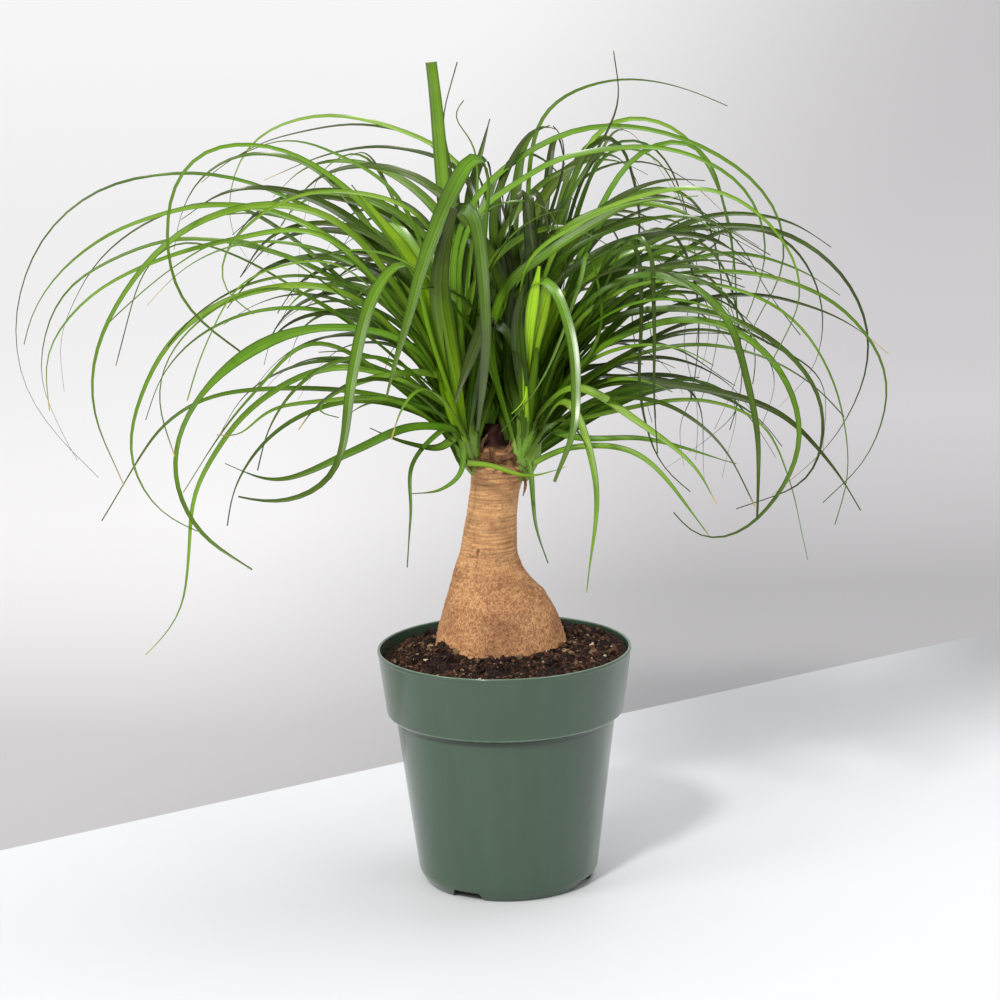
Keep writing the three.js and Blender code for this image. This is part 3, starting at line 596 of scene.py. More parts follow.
class Tree(Nodes):
    """A geometry tree being built, with named inputs."""

    def __init__(self, name, inputs):
        super().__init__(bpy.data.node_groups.new(name, "GeometryNodeTree"))
        face = self.tree.interface
        for label, kind in {"Geometry": "Geometry", **inputs}.items():
            face.new_socket(label, in_out="INPUT", socket_type="NodeSocket" + kind)
        face.new_socket("Geometry", in_out="OUTPUT", socket_type="NodeSocketGeometry")
        self.given = self.tree.nodes.new("NodeGroupInput").outputs

    def draw(self, low, high, seed):
        """A random number for each point or instance, between low and high."""
        return self.add("FunctionNodeRandomValue", {2: low, 3: high, "Seed": seed}, 1, data_type="FLOAT")

    def named(self, name, kind="FLOAT"):
        """The value that the geometry carries under a name."""
        return self.add("GeometryNodeInputNamedAttribute", {"Name": name}, "Attribute", data_type=kind)

    def store(self, geometry, name, value, domain):
        inputs = {"Geometry": geometry, "Name": name, "Value": value}
        return self.add("GeometryNodeStoreNamedAttribute", inputs, data_type="FLOAT", domain=domain)

    def vector(self, operation, inputs):
        return self.add("ShaderNodeVectorMath", inputs, operation=operation)

    def finish(self, geometry):
        """Puts the given material on the geometry and makes it the tree's result."""
        inputs = {"Geometry": geometry, "Material": self.given["Material"]}
        result = self.tree.nodes.new("NodeGroupOutput")
        self.fill(result, {"Geometry": self.add("GeometryNodeSetMaterial", inputs)})
        return self

    def dress(self, piece, values):
        """Puts the tree on a piece with its input values set, and makes the result a plain mesh."""
        modifier = piece.modifiers.new(self.tree.name, "NODES")
        modifier.node_group = self.tree
        for item in self.tree.interface.items_tree:
            if item.in_out == "INPUT" and item.name in values:
                modifier[item.identifier] = values[item.name]
        plain_copy(piece)


def scattered_grains_tree():
    """Grains strewn over a surface: four lumpy shapes, each turned, stretched and toned at random."""
    tree = Tree("scattered_grains", {
        "Density": "Float", "Spacing": "Float", "Grain size": "Float", "Flatness": "Float",
        "Length": "Float", "Corners": "Int", "Seed": "Int", "Material": "Material"})
    given = tree.given
    strewn = tree.add("GeometryNodeDistributePointsOnFaces", {
        "Mesh": given["Geometry"], "Distance Min": given["Spacing"], "Density Max": given["Density"],
        "Seed": given["Seed"]}, distribute_method="POISSON")
    shapes = tree.add("GeometryNodeJoinGeometry")
    for shape in range(GRAIN_SHAPES):
        block = tree.add("GeometryNodeMeshCube", {
            "Size": GRAIN_BLOCK, "Vertices X": given["Corners"], "Vertices Y": given["Corners"],
            "Vertices Z": given["Corners"]})
        lumps = tree.add("ShaderNodeTexNoise", {"Scale": 0.9, "Detail": 1.0, "W": 7.0 * shape}, "Color",
                         noise_dimensions="4D")
        centred = tree.vector("SUBTRACT", {0: lumps, 1: (0.5, 0.5, 0.5)})
        pushed = tree.vector("SCALE", {0: centred, "Scale": GRAIN_LUMPS})
        lumpy = tree.add("GeometryNodeSetPosition", {"Geometry": block, "Offset": pushed})
        single = tree.add("GeometryNodeGeometryToInstance", {"Geometry": lumpy})
        tree.fill(shapes.node, {"Geometry": single})
    turn = tree.add("FunctionNodeRandomValue", {0: GRAIN_LEAST_TURN, 1: GRAIN_MOST_TURN, "Seed": 3},
                    data_type="FLOAT_VECTOR")
    size = tree.maths("MULTIPLY", tree.draw(*GRAIN_SIZES, 5), given["Grain size"])
    long = tree.maths("MULTIPLY", tree.draw(*GRAIN_LENGTHS, 8), given["Length"])
    form = tree.add("ShaderNodeCombineXYZ", {"X": long, "Y": 1.0, "Z": given["Flatness"]})
    placed = tree.add("GeometryNodeInstanceOnPoints", {
        "Points": strewn, "Instance": shapes, "Pick Instance": True, "Rotation": turn,
        "Scale": tree.vector("SCALE", {0: form, "Scale": size})})
    toned = tree.store(placed, "tone", tree.draw(0.0, 1.0, 13), "INSTANCE")
    real = tree.add("GeometryNodeRealizeInstances", {"Geometry": toned})
    return tree.finish(tree.add("GeometryNodeSetShadeSmooth", {"Geometry": real, "Shade Smooth": False}))


top_loops = [soil_loop(ring / SOIL_RINGS) for ring in range(SOIL_RINGS + 1)]
wall_loops = [circle(radius, height, SOIL_SIDES) for radius, height in (
    (BAND_FOOT_RADIUS - WALL - 0.5 * MM, band_foot + 2 * WALL),
    (BODY_TOP_RADIUS - WALL - 0.6 * MM, band_foot - STEP_HEIGHT + WALL),
    (BODY_FOOT_RADIUS - WALL - 0.6 * MM, BASE_CHAMFER),
    (BASE_RADIUS - WALL - 0.8 * MM, SOIL_FOOT),
    (SOIL_HOLLOW, SOIL_FOOT),
    (SOIL_HOLLOW, SOIL_HOLLOW_TOP),
)]
peat = grainy("peat", 0.95, 0.2, (420, 8), [(0.35, PEAT_DARK), (0.75, PEAT_BROWN)], (PEAT_RELIEF, 1.0))
perlite = grainy("perlite", 0.9, 0.3, (1600, 4),
                 [(0.3, PERLITE_PORE), (0.55, PERLITE_CREAM)], (PERLITE_RELIEF, 0.8))
chip_bark = loose_bark()
soil_bed = add_object("soil_bed", looped_mesh("soil_bed", top_loops + wall_loops, closed=True), peat)
shade_smooth(soil_bed.data, 60)
grains = scattered_grains_tree()
strewn = [
    ("bark_chips", CHIP_MARGIN, {
        "Density": 52000, "Spacing": 1.7 * MM, "Grain size": CHIP_SIZE / 2, "Flatness": 0.45,
        "Length": 1.9, "Corners": 3, "Seed": 4, "Material": chip_bark}),
    ("peat_crumbs", CRUMB_MARGIN, {
        "Density": 230000, "Spacing": 0.8 * MM, "Grain size": CRUMB_SIZE / 2, "Flatness": 0.7,
        "Length": 1.5, "Corners": 2, "Seed": 9, "Material": chip_bark}),
    ("perlite_grains", CHIP_MARGIN, {
        "Density": 2600, "Spacing": 6 * MM, "Grain size": PERLITE_SIZE / 2, "Flatness": 0.8,
        "Length": 1.2, "Corners": 3, "Seed": 21, "Material": perlite}),
]
for name, margin, values in strewn:
    inside = [loop for loop in top_loops if max(math.hypot(x, y) for x, y, _ in loop) < SOIL_RADIUS - margin]
    strewn_piece = add_object(name, looped_mesh(name, inside))
    grains.dress(strewn_piece, values)
    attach(strewn_piece, "root")
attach(soil_bed, "root")
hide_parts("soil")

# Leafy heads: three rosettes of waxy strap leaves, two side by side and one behind. Each leaf is a
# thin channelled blade that grows out of the packed leaf bases, arches over and hangs to a thread tip.
PIXEL = EYE_DISTANCE / FOCAL_PIXELS
LEAF_STATIONS = 46
LEAF_SECTION_POINTS = 8
LEAF_THICKNESS = 0.075
LEAF_CHANNEL = 0.4
LEAF_LEAN = math.radians(50)
LEAF_WIDTH_FACTOR = 1.3
LEAF_TWIST = math.radians(26)
LEAF_BASE_LENGTH = 38 * MM
LEAF_FLARE = 0.35
RULED_WIDTH = 5.5 * MM
RULED_LENGTH = 195
RULED_LENGTH_SPREAD = 95
CROWN_LENGTHS = (180, 295)
CROWN_WIDTHS = (7, 11)
BASAL_LENGTHS = (95, 185)
BASAL_WIDTHS = (6.5, 9)
BASAL_FAN = 95
CORE_HEIGHT = 62 * MM
CORE_SINK = 7 * MM
CORE_SHARES = [0.45, 0.8, 0.95, 0.9, 0.6, 0.22]
CORE_HEIGHTS = [-CORE_SINK, 3 * MM, CORE_HEIGHT * 0.2, CORE_HEIGHT * 0.4, CORE_HEIGHT * 0.75, CORE_HEIGHT]
CORE_WRAP_HEIGHT = 26 * MM
ROOT_OFFSET = 5 * MM
BASAL_OFFSET = 6 * MM
CORE_SIDES = 60
CORE_ROWS = 60
RISE_SHARE = 0.45
RISE_BOW = 0.14
RISE_LENGTH = 110 * MM
GOLDEN_SHARE = 0.618
RULE_STEPS = 9
LEAF_TAPER = 2.1
RULED_TAPER = 1.4
CROWN_TAPER = 1.9
BROAD_TAPER = 4
LEAF_TIP_WIDTH = 0.8 * MM
LEAF_WOBBLE = 1.6 * MM
LEAF_WOBBLE_SEED = 4
LEAF_DARK = (0.044, 0.07, 0.007, 1)
LEAF_MID = (0.122, 0.245, 0.012, 1)
LEAF_LIGHT = (0.285, 0.45, 0.045, 1)
LEAF_YOUNG = (0.42, 0.72, 0.02, 1)
LEAF_BASE_PALE = (0.25, 0.38, 0.08, 1)
LEAF_TIP_SHADE = 0.34
LEAF_VEINS = 15
LEAF_VEIN_RELIEF = 0.06 * MM
BASES_RELIEF = 0.5 * MM
DRY_FADE = 0.06
LEAF_COOL_SHADE = (0.74, 1.04, 0.92, 1)
LEAF_STRAW = (0.45, 0.33, 0.12, 1)
SHEATH_TAN = (0.36, 0.2, 0.09, 1)
UP = Vector((0, 0, 1))
LEANING = UP * math.cos(LEAF_LEAN) + Vector((0, -1, 0)) * math.sin(LEAF_LEAN)
HEADS = {
    "left": {"foot": (-17, -3, 277), "points": (-0.27, -0.06, 0.95), "radius": 9.5, "ruled": 14,
             "middle": 160, "fan": 65, "seed": 11, "crown": 36, "basal": 9, "open_front": 0.55},
    "right": {"foot": (14, -5, 273), "points": (0.14, -0.12, 0.97), "radius": 11, "ruled": 14,
              "middle": 20, "fan": 65, "seed": 23, "crown": 38, "basal": 9, "open_front": 0.55},
    "back": {"foot": (1, 12, 277), "points": (0.04, 0.42, 0.9), "radius": 8.5, "ruled": 14,
             "middle": 90, "fan": 75, "seed": 37, "crown": 50, "basal": 6, "open_front": 0.3},
}
# The leaves that can be followed, each from near its root to its tip: the depth of the tip in
# millimetres, toward the front is negative, the width in pixels of the picture, the leaf's line in
# pixels, and notes where it has its own look. The notes give the breadth in pixels and how fast it
# narrows, or its breadths from foot to tip, its tone, and how young it is and how fast that fades.
LEAVES = {
    "left": [
        [40, 6, [[400, 270], [300, 203], [200, 172], [100, 188], [39, 242], [15, 319], [30, 400],
            [98, 478]], {"breadth": 6, "taper": 1.5, "tone": 0.4}],
        [-30, 7, [[338, 244], [279, 214], [200, 205], [100, 239], [59, 276], [27, 319], [24, 344]]],
        [70, 5, [[338, 280], [259, 248], [181, 238], [100, 266], [59, 298], [40, 378], [48, 406],
            [78, 461]]],
        [-60, 6, [[322, 233], [238, 239], [152, 262], [84, 301], [46, 353], [48, 410]]],
        [90, 4, [[230, 203], [152, 219], [100, 258], [72, 305], [59, 341], [63, 392]]],
        [-80, 8, [[338, 221], [259, 205], [179, 233], [125, 289], [100, 341], [92, 400], [123, 487]]],
        [-40, 3, [[179, 240], [143, 273], [127, 323], [116, 367]]],
        [-110, 3, [[238, 239], [179, 264], [109, 323]]],
        [-90, 9, [[416, 276], [339, 183], [268, 145], [200, 152], [169, 201], [179, 298], [240, 353]],
            {"breadths": [8, 11, 13, 12, 6, 4.5, 3.5, 3, 2], "young": 0.5, "fading": 2, "tone": 0.55}],
        [60, 7, [[322, 173], [250, 153], [200, 176], [176, 230], [174, 250]]],
        [110, 5, [[470, 175], [400, 129], [322, 114], [257, 138], [228, 190], [240, 251], [294, 298]]],
        [140, 4, [[440, 150], [380, 126], [304, 130], [240, 153], [202, 183]]],
        [-50, 6, [[397, 196], [339, 156], [283, 139], [240, 155]]],
        [80, 6, [[470, 180], [400, 147], [339, 151], [263, 182]]],
        [120, 3, [[361, 151], [320, 174], [300, 240], [297, 285]]],
        [150, 3, [[361, 150], [329, 183], [329, 210]]],
        [-120, 6, [[425, 221], [380, 197], [300, 195], [234, 237], [218, 285], [254, 314]]],
        [100, 5, [[340, 242], [279, 217], [220, 215], [184, 230]]],
        [-70, 7, [[345, 292], [259, 290], [186, 324], [143, 390], [131, 463], [152, 506], [198, 531]]],
        [-100, 3, [[286, 288], [220, 305], [166, 360], [157, 397], [175, 456]]],
        [-130, 3, [[340, 265], [279, 265], [234, 290], [206, 342], [188, 401]]],
        [-120, 9, [[410, 345], [322, 328], [256, 348], [190, 410], [175, 472], [200, 531], [252, 568]],
            {"breadths": [8, 9, 9, 9, 13, 6, 4.5, 4, 2], "tone": 0.6}],
        [-60, 5, [[421, 407], [341, 391], [220, 395], [164, 425], [132, 472], [100, 521]]],
        [-90, 6, [[440, 400], [340, 367], [257, 403], [197, 487], [189, 558], [181, 612], [145, 654]]],
        [-20, 5, [[313, 342], [254, 394], [218, 440], [184, 492]]],
        [-60, 6, [[400, 403], [322, 402], [270, 410], [238, 435], [216, 435]]],
        [-50, 8, [[443, 378], [389, 376], [336, 393], [316, 411], [339, 418]]],
        [-150, 12, [[430, 340], [405, 257], [371, 300], [352, 372], [332, 481], [286, 504], [238, 497]],
            {"breadths": [10, 12, 12, 11, 8, 12, 11, 9, 6, 5, 2], "young": 0.5, "fading": 3, "tone": 0.45}],
        [-130, 10, [[448, 429], [407, 428], [353, 452], [279, 480], [224, 463]], {"breadth": 10,
            "taper": 2.4, "tone": 0.5}],
        [-40, 6, [[440, 448], [407, 443], [370, 428]]],
        [-60, 6, [[440, 432], [412, 465], [412, 515], [407, 567]], {"breadth": 5, "taper": 2, "tone": 0.5}],
        [-40, 5, [[461, 472], [440, 491], [411, 494]]],
        [-75, 5, [[466, 464], [490, 466], [529, 476], [566, 466]]],
        [15, 10, [[452, 330], [444, 200], [437, 120], [431, 62]], {"breadths": [8, 10, 12, 13, 13.5, 11],
            "tone": 0.8}],
        [40, 4, [[452, 170], [443, 120], [457, 62]]],
        [-110, 10, [[452, 370], [446, 310], [449, 250], [457, 203], [470, 205], [480, 250], [485, 310],
            [484, 370], [479, 432]], {"breadths": [10, 15, 22, 20, 12, 14, 12, 10, 8, 3], "young": 0.35,
            "fading": 5, "tone": 0.4}],
        [-90, 9, [[479, 300], [485, 215], [487, 165], [482, 150], [472, 152], [461, 173], [442, 212],
            [427, 257], [409, 315], [385, 397]], {"breadths": [10, 12, 12, 11, 11, 17, 13, 8, 2],
            "tone": 0.55}],
        [30, 4, [[476, 150], [452, 115], [464, 101]]],
        [-10, 12, [[452, 360], [445, 308], [438, 262]], {"breadth": 12, "taper": 5, "young": 0.4}],
        [-25, 11, [[455, 400], [430, 330], [405, 262], [385, 232]], {"breadth": 11, "taper": 5,
            "young": 0.6}],
    ],
    "right": [
        [60, 6, [[600, 128], [660, 120], [707, 163], [734, 246], [726, 333]]],
        [40, 6, [[590, 142], [617, 131], [631, 172], [640, 218], [635, 260], [631, 293], [633, 343],
            [643, 393], [652, 422]]],
        [-50, 6, [[570, 335], [600, 302], [637, 285], [671, 281], [704, 293], [729, 310], [737, 335]]],
        [-80, 6, [[560, 240], [640, 197], [717, 190], [780, 235], [803, 290], [773, 360]]],
        [30, 6, [[640, 246], [700, 227], [780, 231], [839, 271], [869, 335], [839, 434], [771, 496]]],
        [-30, 5, [[640, 285], [739, 272], [832, 300], [885, 368], [871, 452], [823, 502]]],
        [70, 7, [[660, 273], [739, 253], [805, 272], [840, 294]]],
        [100, 7, [[620, 290], [694, 256], [723, 237], [717, 222]]],
        [-70, 9, [[560, 260], [621, 228], [696, 216], [771, 255]], {"breadth": 9, "taper": 2}],
        [-120, 11, [[529, 262], [586, 221], [640, 202], [698, 197]], {"breadth": 11, "taper": 2}],
        [110, 5, [[600, 235], [676, 202], [716, 219], [760, 248]]],
        [130, 4, [[578, 180], [640, 162], [700, 190], [725, 215]]],
        [160, 6, [[575, 160], [608, 131], [632, 169], [643, 230]]],
        [-50, 6, [[590, 300], [618, 238], [634, 236], [641, 300], [640, 400], [664, 470], [689, 491]],
            {"breadth": 6, "taper": 3, "tone": 0.25}],
        [-80, 6, [[600, 300], [634, 230], [648, 242], [653, 300], [654, 378], [658, 454]], {"breadth": 6,
            "taper": 3, "tone": 0.3}],
        [150, 4, [[621, 126], [653, 160], [678, 201]]],
        [-110, 8, [[580, 310], [640, 274], [712, 298], [748, 382], [759, 454], [756, 518]],
            {"breadths": [9, 8, 8, 7.5, 6.5, 2], "tone": 0.45}],
        [-30, 6, [[680, 275], [732, 303], [756, 355], [752, 385]]],
        [-60, 7, [[590, 330], [680, 308], [766, 337], [821, 400], [810, 479], [737, 508]]],
        [40, 4, [[700, 320], [780, 350], [821, 379], [825, 452]]],
        [-90, 7, [[600, 348], [700, 319], [771, 359], [801, 443], [748, 529], [696, 538], [674, 513]]],
        [-50, 8, [[600, 385], [680, 386], [780, 414], [837, 470], [862, 511]]],
        [-100, 8, [[574, 388], [642, 425], [694, 466], [717, 504]]],
        [-60, 6, [[576, 438], [649, 440], [737, 463]]],
        [-80, 6, [[574, 448], [640, 456], [710, 536]]],
        [-110, 7, [[565, 400], [585, 432], [597, 506], [587, 592]]],
        [-120, 9, [[525, 300], [543, 276], [571, 333], [574, 425], [555, 482]],
            {"breadths": [8, 10, 10, 10, 9, 3], "tone": 0.6}],
        [-45, 4, [[530, 470], [536, 524], [548, 563]]],
        [-70, 5, [[600, 330], [594, 270], [586, 243], [583, 275], [570, 315], [554, 356], [530, 402],
            [503, 433]]],
        [10, 5, [[560, 220], [600, 144], [620, 97], [614, 51]]],
        [50, 5, [[531, 160], [547, 110], [604, 82], [660, 82], [727, 107]]],
        [60, 4, [[608, 345], [674, 348], [734, 386]]],
        [80, 4, [[660, 339], [735, 334]]],
        [40, 6, [[640, 395], [692, 390], [680, 425], [685, 465]]],
        [60, 5, [[645, 380], [694, 395], [704, 479]]],
        [50, 5, [[670, 385], [739, 402], [714, 434], [664, 469]]],
        [70, 4, [[680, 380], [733, 400], [721, 477]]],
        [0, 4, [[700, 400], [760, 423], [789, 477], [807, 560]]],
        [40, 4, [[690, 330], [760, 348], [774, 382], [761, 425]]],
        [70, 5, [[720, 232], [780, 235], [820, 298], [816, 364], [780, 407]]],
        [-20, 4, [[670, 285], [739, 290], [807, 332], [850, 457], [834, 524]]],
        [40, 6, [[576, 382], [621, 377], [700, 378]]],
        [60, 5, [[583, 418], [621, 402], [667, 388]]],
        [-35, 9, [[530, 420], [525, 372], [531, 300], [538, 268]], {"breadth": 9, "taper": 3, "tone": 0.3}],
        [-30, 11, [[533, 400], [535, 345], [550, 305], [555, 285]], {"breadth": 11, "taper": 5,
            "young": 0.3}],
    ],
    "back": [
        [70, 8, [[485, 300], [475, 172], [482, 151], [490, 119]], {"breadth": 10, "taper": 6, "tone": 0.7}],
        [60, 12, [[480, 300], [470, 200], [485, 153], [492, 195]], {"breadth": 13, "taper": 6}],
        [90, 12, [[510, 300], [515, 200], [531, 133], [550, 126]], {"breadth": 13, "taper": 6}],
        [75, 8, [[530, 300], [545, 200], [557, 130], [565, 165]], {"breadth": 10, "taper": 6}],
        [120, 6, [[505, 300], [500, 180], [520, 150], [560, 175], [590, 250]]],
        [110, 7, [[470, 320], [440, 240], [400, 200], [350, 205]]],
    ],
}
# Leaves that only the finished plant has, read in the same way: the broad blades of the heart, the
# arches of the crown and the strands that hang among the others.
EXTRA_LEAVES = {
    "left": [
        [-50, 16, [[447, 400], [436, 330], [415, 268], [385, 226], [352, 186]], {"young": 1.0,
            "fading": 0.25}],
        [-12, 12, [[468, 400], [474, 330], [480, 280], [476, 240]], {"tone": 0.3}],
        [-24, 12, [[452, 390], [430, 330], [412, 296], [395, 275]], {"young": 0.75, "fading": 0.4}],
        [-74, 20, [[457, 380], [448, 335], [442, 290], [446, 245], [454, 208]], {"young": 0.9,
            "fading": 2.2, "tone": 0.35, "breadths": [6, 10, 17, 23, 24, 20, 14, 8]}],
        # These two hang in shade in front of the gap; their low tone paints that shade into their green.
        [-60, 12, [[488, 316], [480, 335], [468, 365], [455, 404]], {"breadths": [8, 9, 10, 13, 11, 2],
            "tone": 0.1}],
        [-45, 13, [[487, 322], [503, 328], [514, 350], [518, 385]], {"tone": 0.1}],
        [20, 13, [[470, 300], [462, 230], [458, 190], [470, 160]], {"tone": 0.15}],
    ],
    "right": [
        [-64, 16, [[494, 335], [512, 282], [542, 258], [570, 238], [590, 227], [626, 207], [664, 199]],
            {"breadths": [8, 14, 18, 15, 12, 10, 3], "tone": 0.5}],
        [-56, 12, [[524, 388], [520, 350], [519, 310], [524, 285]], {"tone": 0.3,
            "breadths": [3, 3, 8, 13, 15, 11, 2]}],
        [-63, 12, [[525, 392], [528, 350], [533, 305], [539, 266]], {"young": 0.9, "fading": 0,
            "breadths": [3, 3, 5, 8, 10, 11, 3]}],
        [-58, 14, [[527, 388], [534, 345], [543, 308], [549, 283]], {"young": 0.55, "fading": 0,
            "breadths": [3, 3, 6, 12, 16, 17, 10]}],
        [-52, 13, [[529, 385], [541, 345], [555, 312], [564, 292]], {"young": 0.3, "fading": 0,
            "breadths": [3, 3, 6, 12, 15, 15, 9]}],
        [-66, 4, [[526, 386], [526, 397], [520, 408], [513, 415]], {"young": 0.9, "fading": 0,
            "tone": 0.8}],
        [-18, 12, [[552, 400], [566, 350], [585, 312], [600, 290]], {"young": 0.25, "fading": 0.5}],
        [-22, 13, [[512, 400], [506, 350], [509, 300], [520, 262]], {"tone": 0.2}],
        [10, 14, [[505, 300], [494, 215], [505, 178], [520, 148], [536, 128], [549, 124], [557, 131]],
            {"tone": 0.35}],
        [15, 9, [[545, 230], [562, 175], [564, 150], [561, 131], [553, 127]], {"tone": 0.1}],
        [-22, 14, [[526, 260], [527, 205], [523, 185], [514, 208], [507, 244]], {"tone": 0.2}],
        [-22, 15, [[535, 260], [530, 205], [532, 185], [542, 208], [551, 242]], {"tone": 0.2}],
        [-30, 16, [[532, 250], [528, 205], [527, 186], [530, 220], [534, 264]], {"tone": 0.12}],
        [25, 13, [[512, 300], [500, 240], [488, 200], [478, 172]], {"tone": 0.1}],
        [30, 13, [[520, 300], [512, 240], [505, 210], [512, 186]], {"tone": 0.1}],
        [25, 13, [[530, 300], [540, 240], [556, 212], [577, 188]], {"tone": 0.3}],
        [35, 13, [[545, 300], [556, 235], [574, 180], [591, 148], [608, 127]], {"tone": 0.5}],
        [20, 8, [[452, 262], [470, 203], [503, 168], [537, 148], [570, 130], [621, 124], [696, 144],
            [773, 201], [787, 269], [751, 324], [737, 377], [715, 430]], {"root": "left", "tone": 0.6}],
        [-40, 9, [[460, 262], [474, 214], [500, 193], [520, 182], [545, 163], [580, 154], [660, 147],
            [739, 181], [768, 251], [746, 319]], {"root": "left", "tone": 0.65}],
        [-35, 4, [[470, 260], [482, 212], [510, 200], [538, 201], [554, 216], [562, 238], [566, 262],
            [563, 292]], {"root": "left"}],
        [40, 4, [[640, 305], [690, 293], [683, 335], [690, 377], [698, 414], [697, 460]]],
        [50, 5, [[650, 290], [702, 293], [710, 327], [704, 360], [694, 389]]],
        [30, 4, [[690, 215], [737, 239], [767, 293], [800, 335]]],
        [80, 5, [[610, 150], [654, 156], [679, 197], [690, 247], [671, 293]]],
        [40, 4, [[610, 310], [638, 300], [652, 340], [652, 368], [656, 418]]],
        [60, 5, [[600, 150], [648, 140], [676, 180], [690, 230], [700, 290], [696, 345]], {"tone": 0.3}],
        [20, 6, [[620, 200], [680, 190], [712, 230], [722, 290], [716, 350], [700, 400]], {"tone": 0.35}],
        [0, 5, [[640, 260], [690, 235], [722, 262], [738, 320], [742, 380], [730, 430]], {"tone": 0.3}],
        [-20, 6, [[620, 250], [665, 225], [690, 262], [700, 330], [690, 400]], {"tone": 0.35}],
        [60, 7, [[640, 150], [700, 143], [721, 197], [735, 260], [736, 318], [746, 385], [757, 440],
            [757, 510]]],
    ],
    "back": [],
}


def random_draws(seed):
    state = seed
    while True:
        state = (state * 1664525 + 1013904223) % 2 ** 32
        yield state / 2 ** 32


def core_axis(head):
    return Vector(head["points"]).normalized()


def core_root(head, share, depth):
    root = Vector(head["foot"]) * MM + core_axis(head) * share * CORE_HEIGHT * 0.6
    root.y += math.copysign(min(abs(depth) * 0.06, ROOT_OFFSET), depth)
    return root


def read_line(head, index, depth, pixels):
    """The points of a leaf that is read in the picture: it rises from the core and bows outward."""
    root = core_root(head, (index % 8) / 8, depth)
    first = point_at(pixels[0], root.y + depth * 0.2)
    points = [root]
    if (first - root).length > RISE_LENGTH:
        rise = root.lerp(first, RISE_SHARE)
        rise.x -= (first.x - root.x) * RISE_BOW
        points.append(rise)
    lengths = [(first - root).length]
    for before, after in zip(pixels, pixels[1:]):
        lengths.append(lengths[-1] + math.dist(before, after) * PIXEL)
    return points + [point_at(pixel, root.y + depth * length / lengths[-1])
                     for pixel, length in zip(pixels, lengths)]


def arching_line(root, heading, length, rise, fall, drift, bend=1.2):
    """The points of a leaf whose slope falls from rise by fall, angles in degrees. The higher the
    bend, the nearer to its tip it falls."""
    points = [root]
    for i in range(RULE_STEPS):
        along = (i + 0.5) / RULE_STEPS
        slope = math.radians(rise - fall * along ** bend)
        way = math.radians(heading + drift * along)
        step = Vector((math.cos(slope) * math.cos(way), math.cos(slope) * math.sin(way), math.sin(slope)))
        points.append(points[-1] + step * length / RULE_STEPS)
    return points


def level_way(heading):
    return Vector((math.cos(math.radians(heading)), math.sin(math.radians(heading)), 0))


def ruled_leaves(head):
    """Leaves that fill a head's own side, at golden steps through its fan."""
    draws = random_draws(head["seed"])
    for index in range(head["ruled"]):
        share = index / head["ruled"]
        length_draw, slope_draw, drop_draw, drift_draw, width_draw = (next(draws) for _ in range(5))
        heading = head["middle"] + head["fan"] * (2 * ((index * GOLDEN_SHARE) % 1) - 1)
        back = max(0, math.sin(math.radians(heading)))
        length = (RULED_LENGTH + RULED_LENGTH_SPREAD * length_draw) * (1 - 0.15 * back) * MM
        rise = 84 - 42 * share + 8 * (slope_draw - 0.5)
        fall = 105 + 40 * drop_draw - 25 * back
        drift = 30 * (drift_draw - 0.5)
        line = arching_line(core_root(head, 1 - share, 0), heading, length, rise, fall, drift)
        yield line, RULED_WIDTH * (0.8 + 0.4 * width_draw)


def crown_leaves(head, rng):
    """Steep leaves round the heart of a head: upright in front, longer behind, and all of them
    arching over near their tips."""
    for index in range(head["crown"]):
        share = index / head["crown"]
        heading = index * 360 * GOLDEN_SHARE + rng.uniform(-12, 12)
        front = max(0, -math.sin(math.radians(heading)))
        behind = max(0, math.sin(math.radians(heading)))
        length = rng.uniform(*CROWN_LENGTHS) * (1 - 0.42 * front - 0.07 * behind) * MM
        rise = 90 - (24 - 17 * front) * share + rng.uniform(-4, 4)
        fall = rng.uniform(105, 165) * (1 - 0.5 * front)
        root = core_root(head, 0.2 + 0.6 * (1 - share), 0) + level_way(heading) * (2 + 5 * share) * MM
        line = arching_line(root, heading, length, rise, fall, rng.uniform(-25, 25), 1.9)
        if front < head["open_front"]:
            yield line, rng.uniform(*CROWN_WIDTHS) * MM, max(0, 0.35 - share * 0.8)


def basal_leaves(head, rng):
    """Broad leaves low on a head's own side, whose bases clasp its foot."""
    for index in range(head["basal"]):
        heading = head["middle"] + BASAL_FAN * (2 * ((index * GOLDEN_SHARE) % 1) - 1)
        root = core_root(head, rng.uniform(-0.05, 0.25), 0) + level_way(heading) * BASAL_OFFSET
        line = arching_line(root, heading, rng.uniform(*BASAL_LENGTHS) * MM, rng.uniform(58, 80),
                            rng.uniform(70, 115), rng.uniform(-20, 20))
        yield line, rng.uniform(*BASAL_WIDTHS) * MM


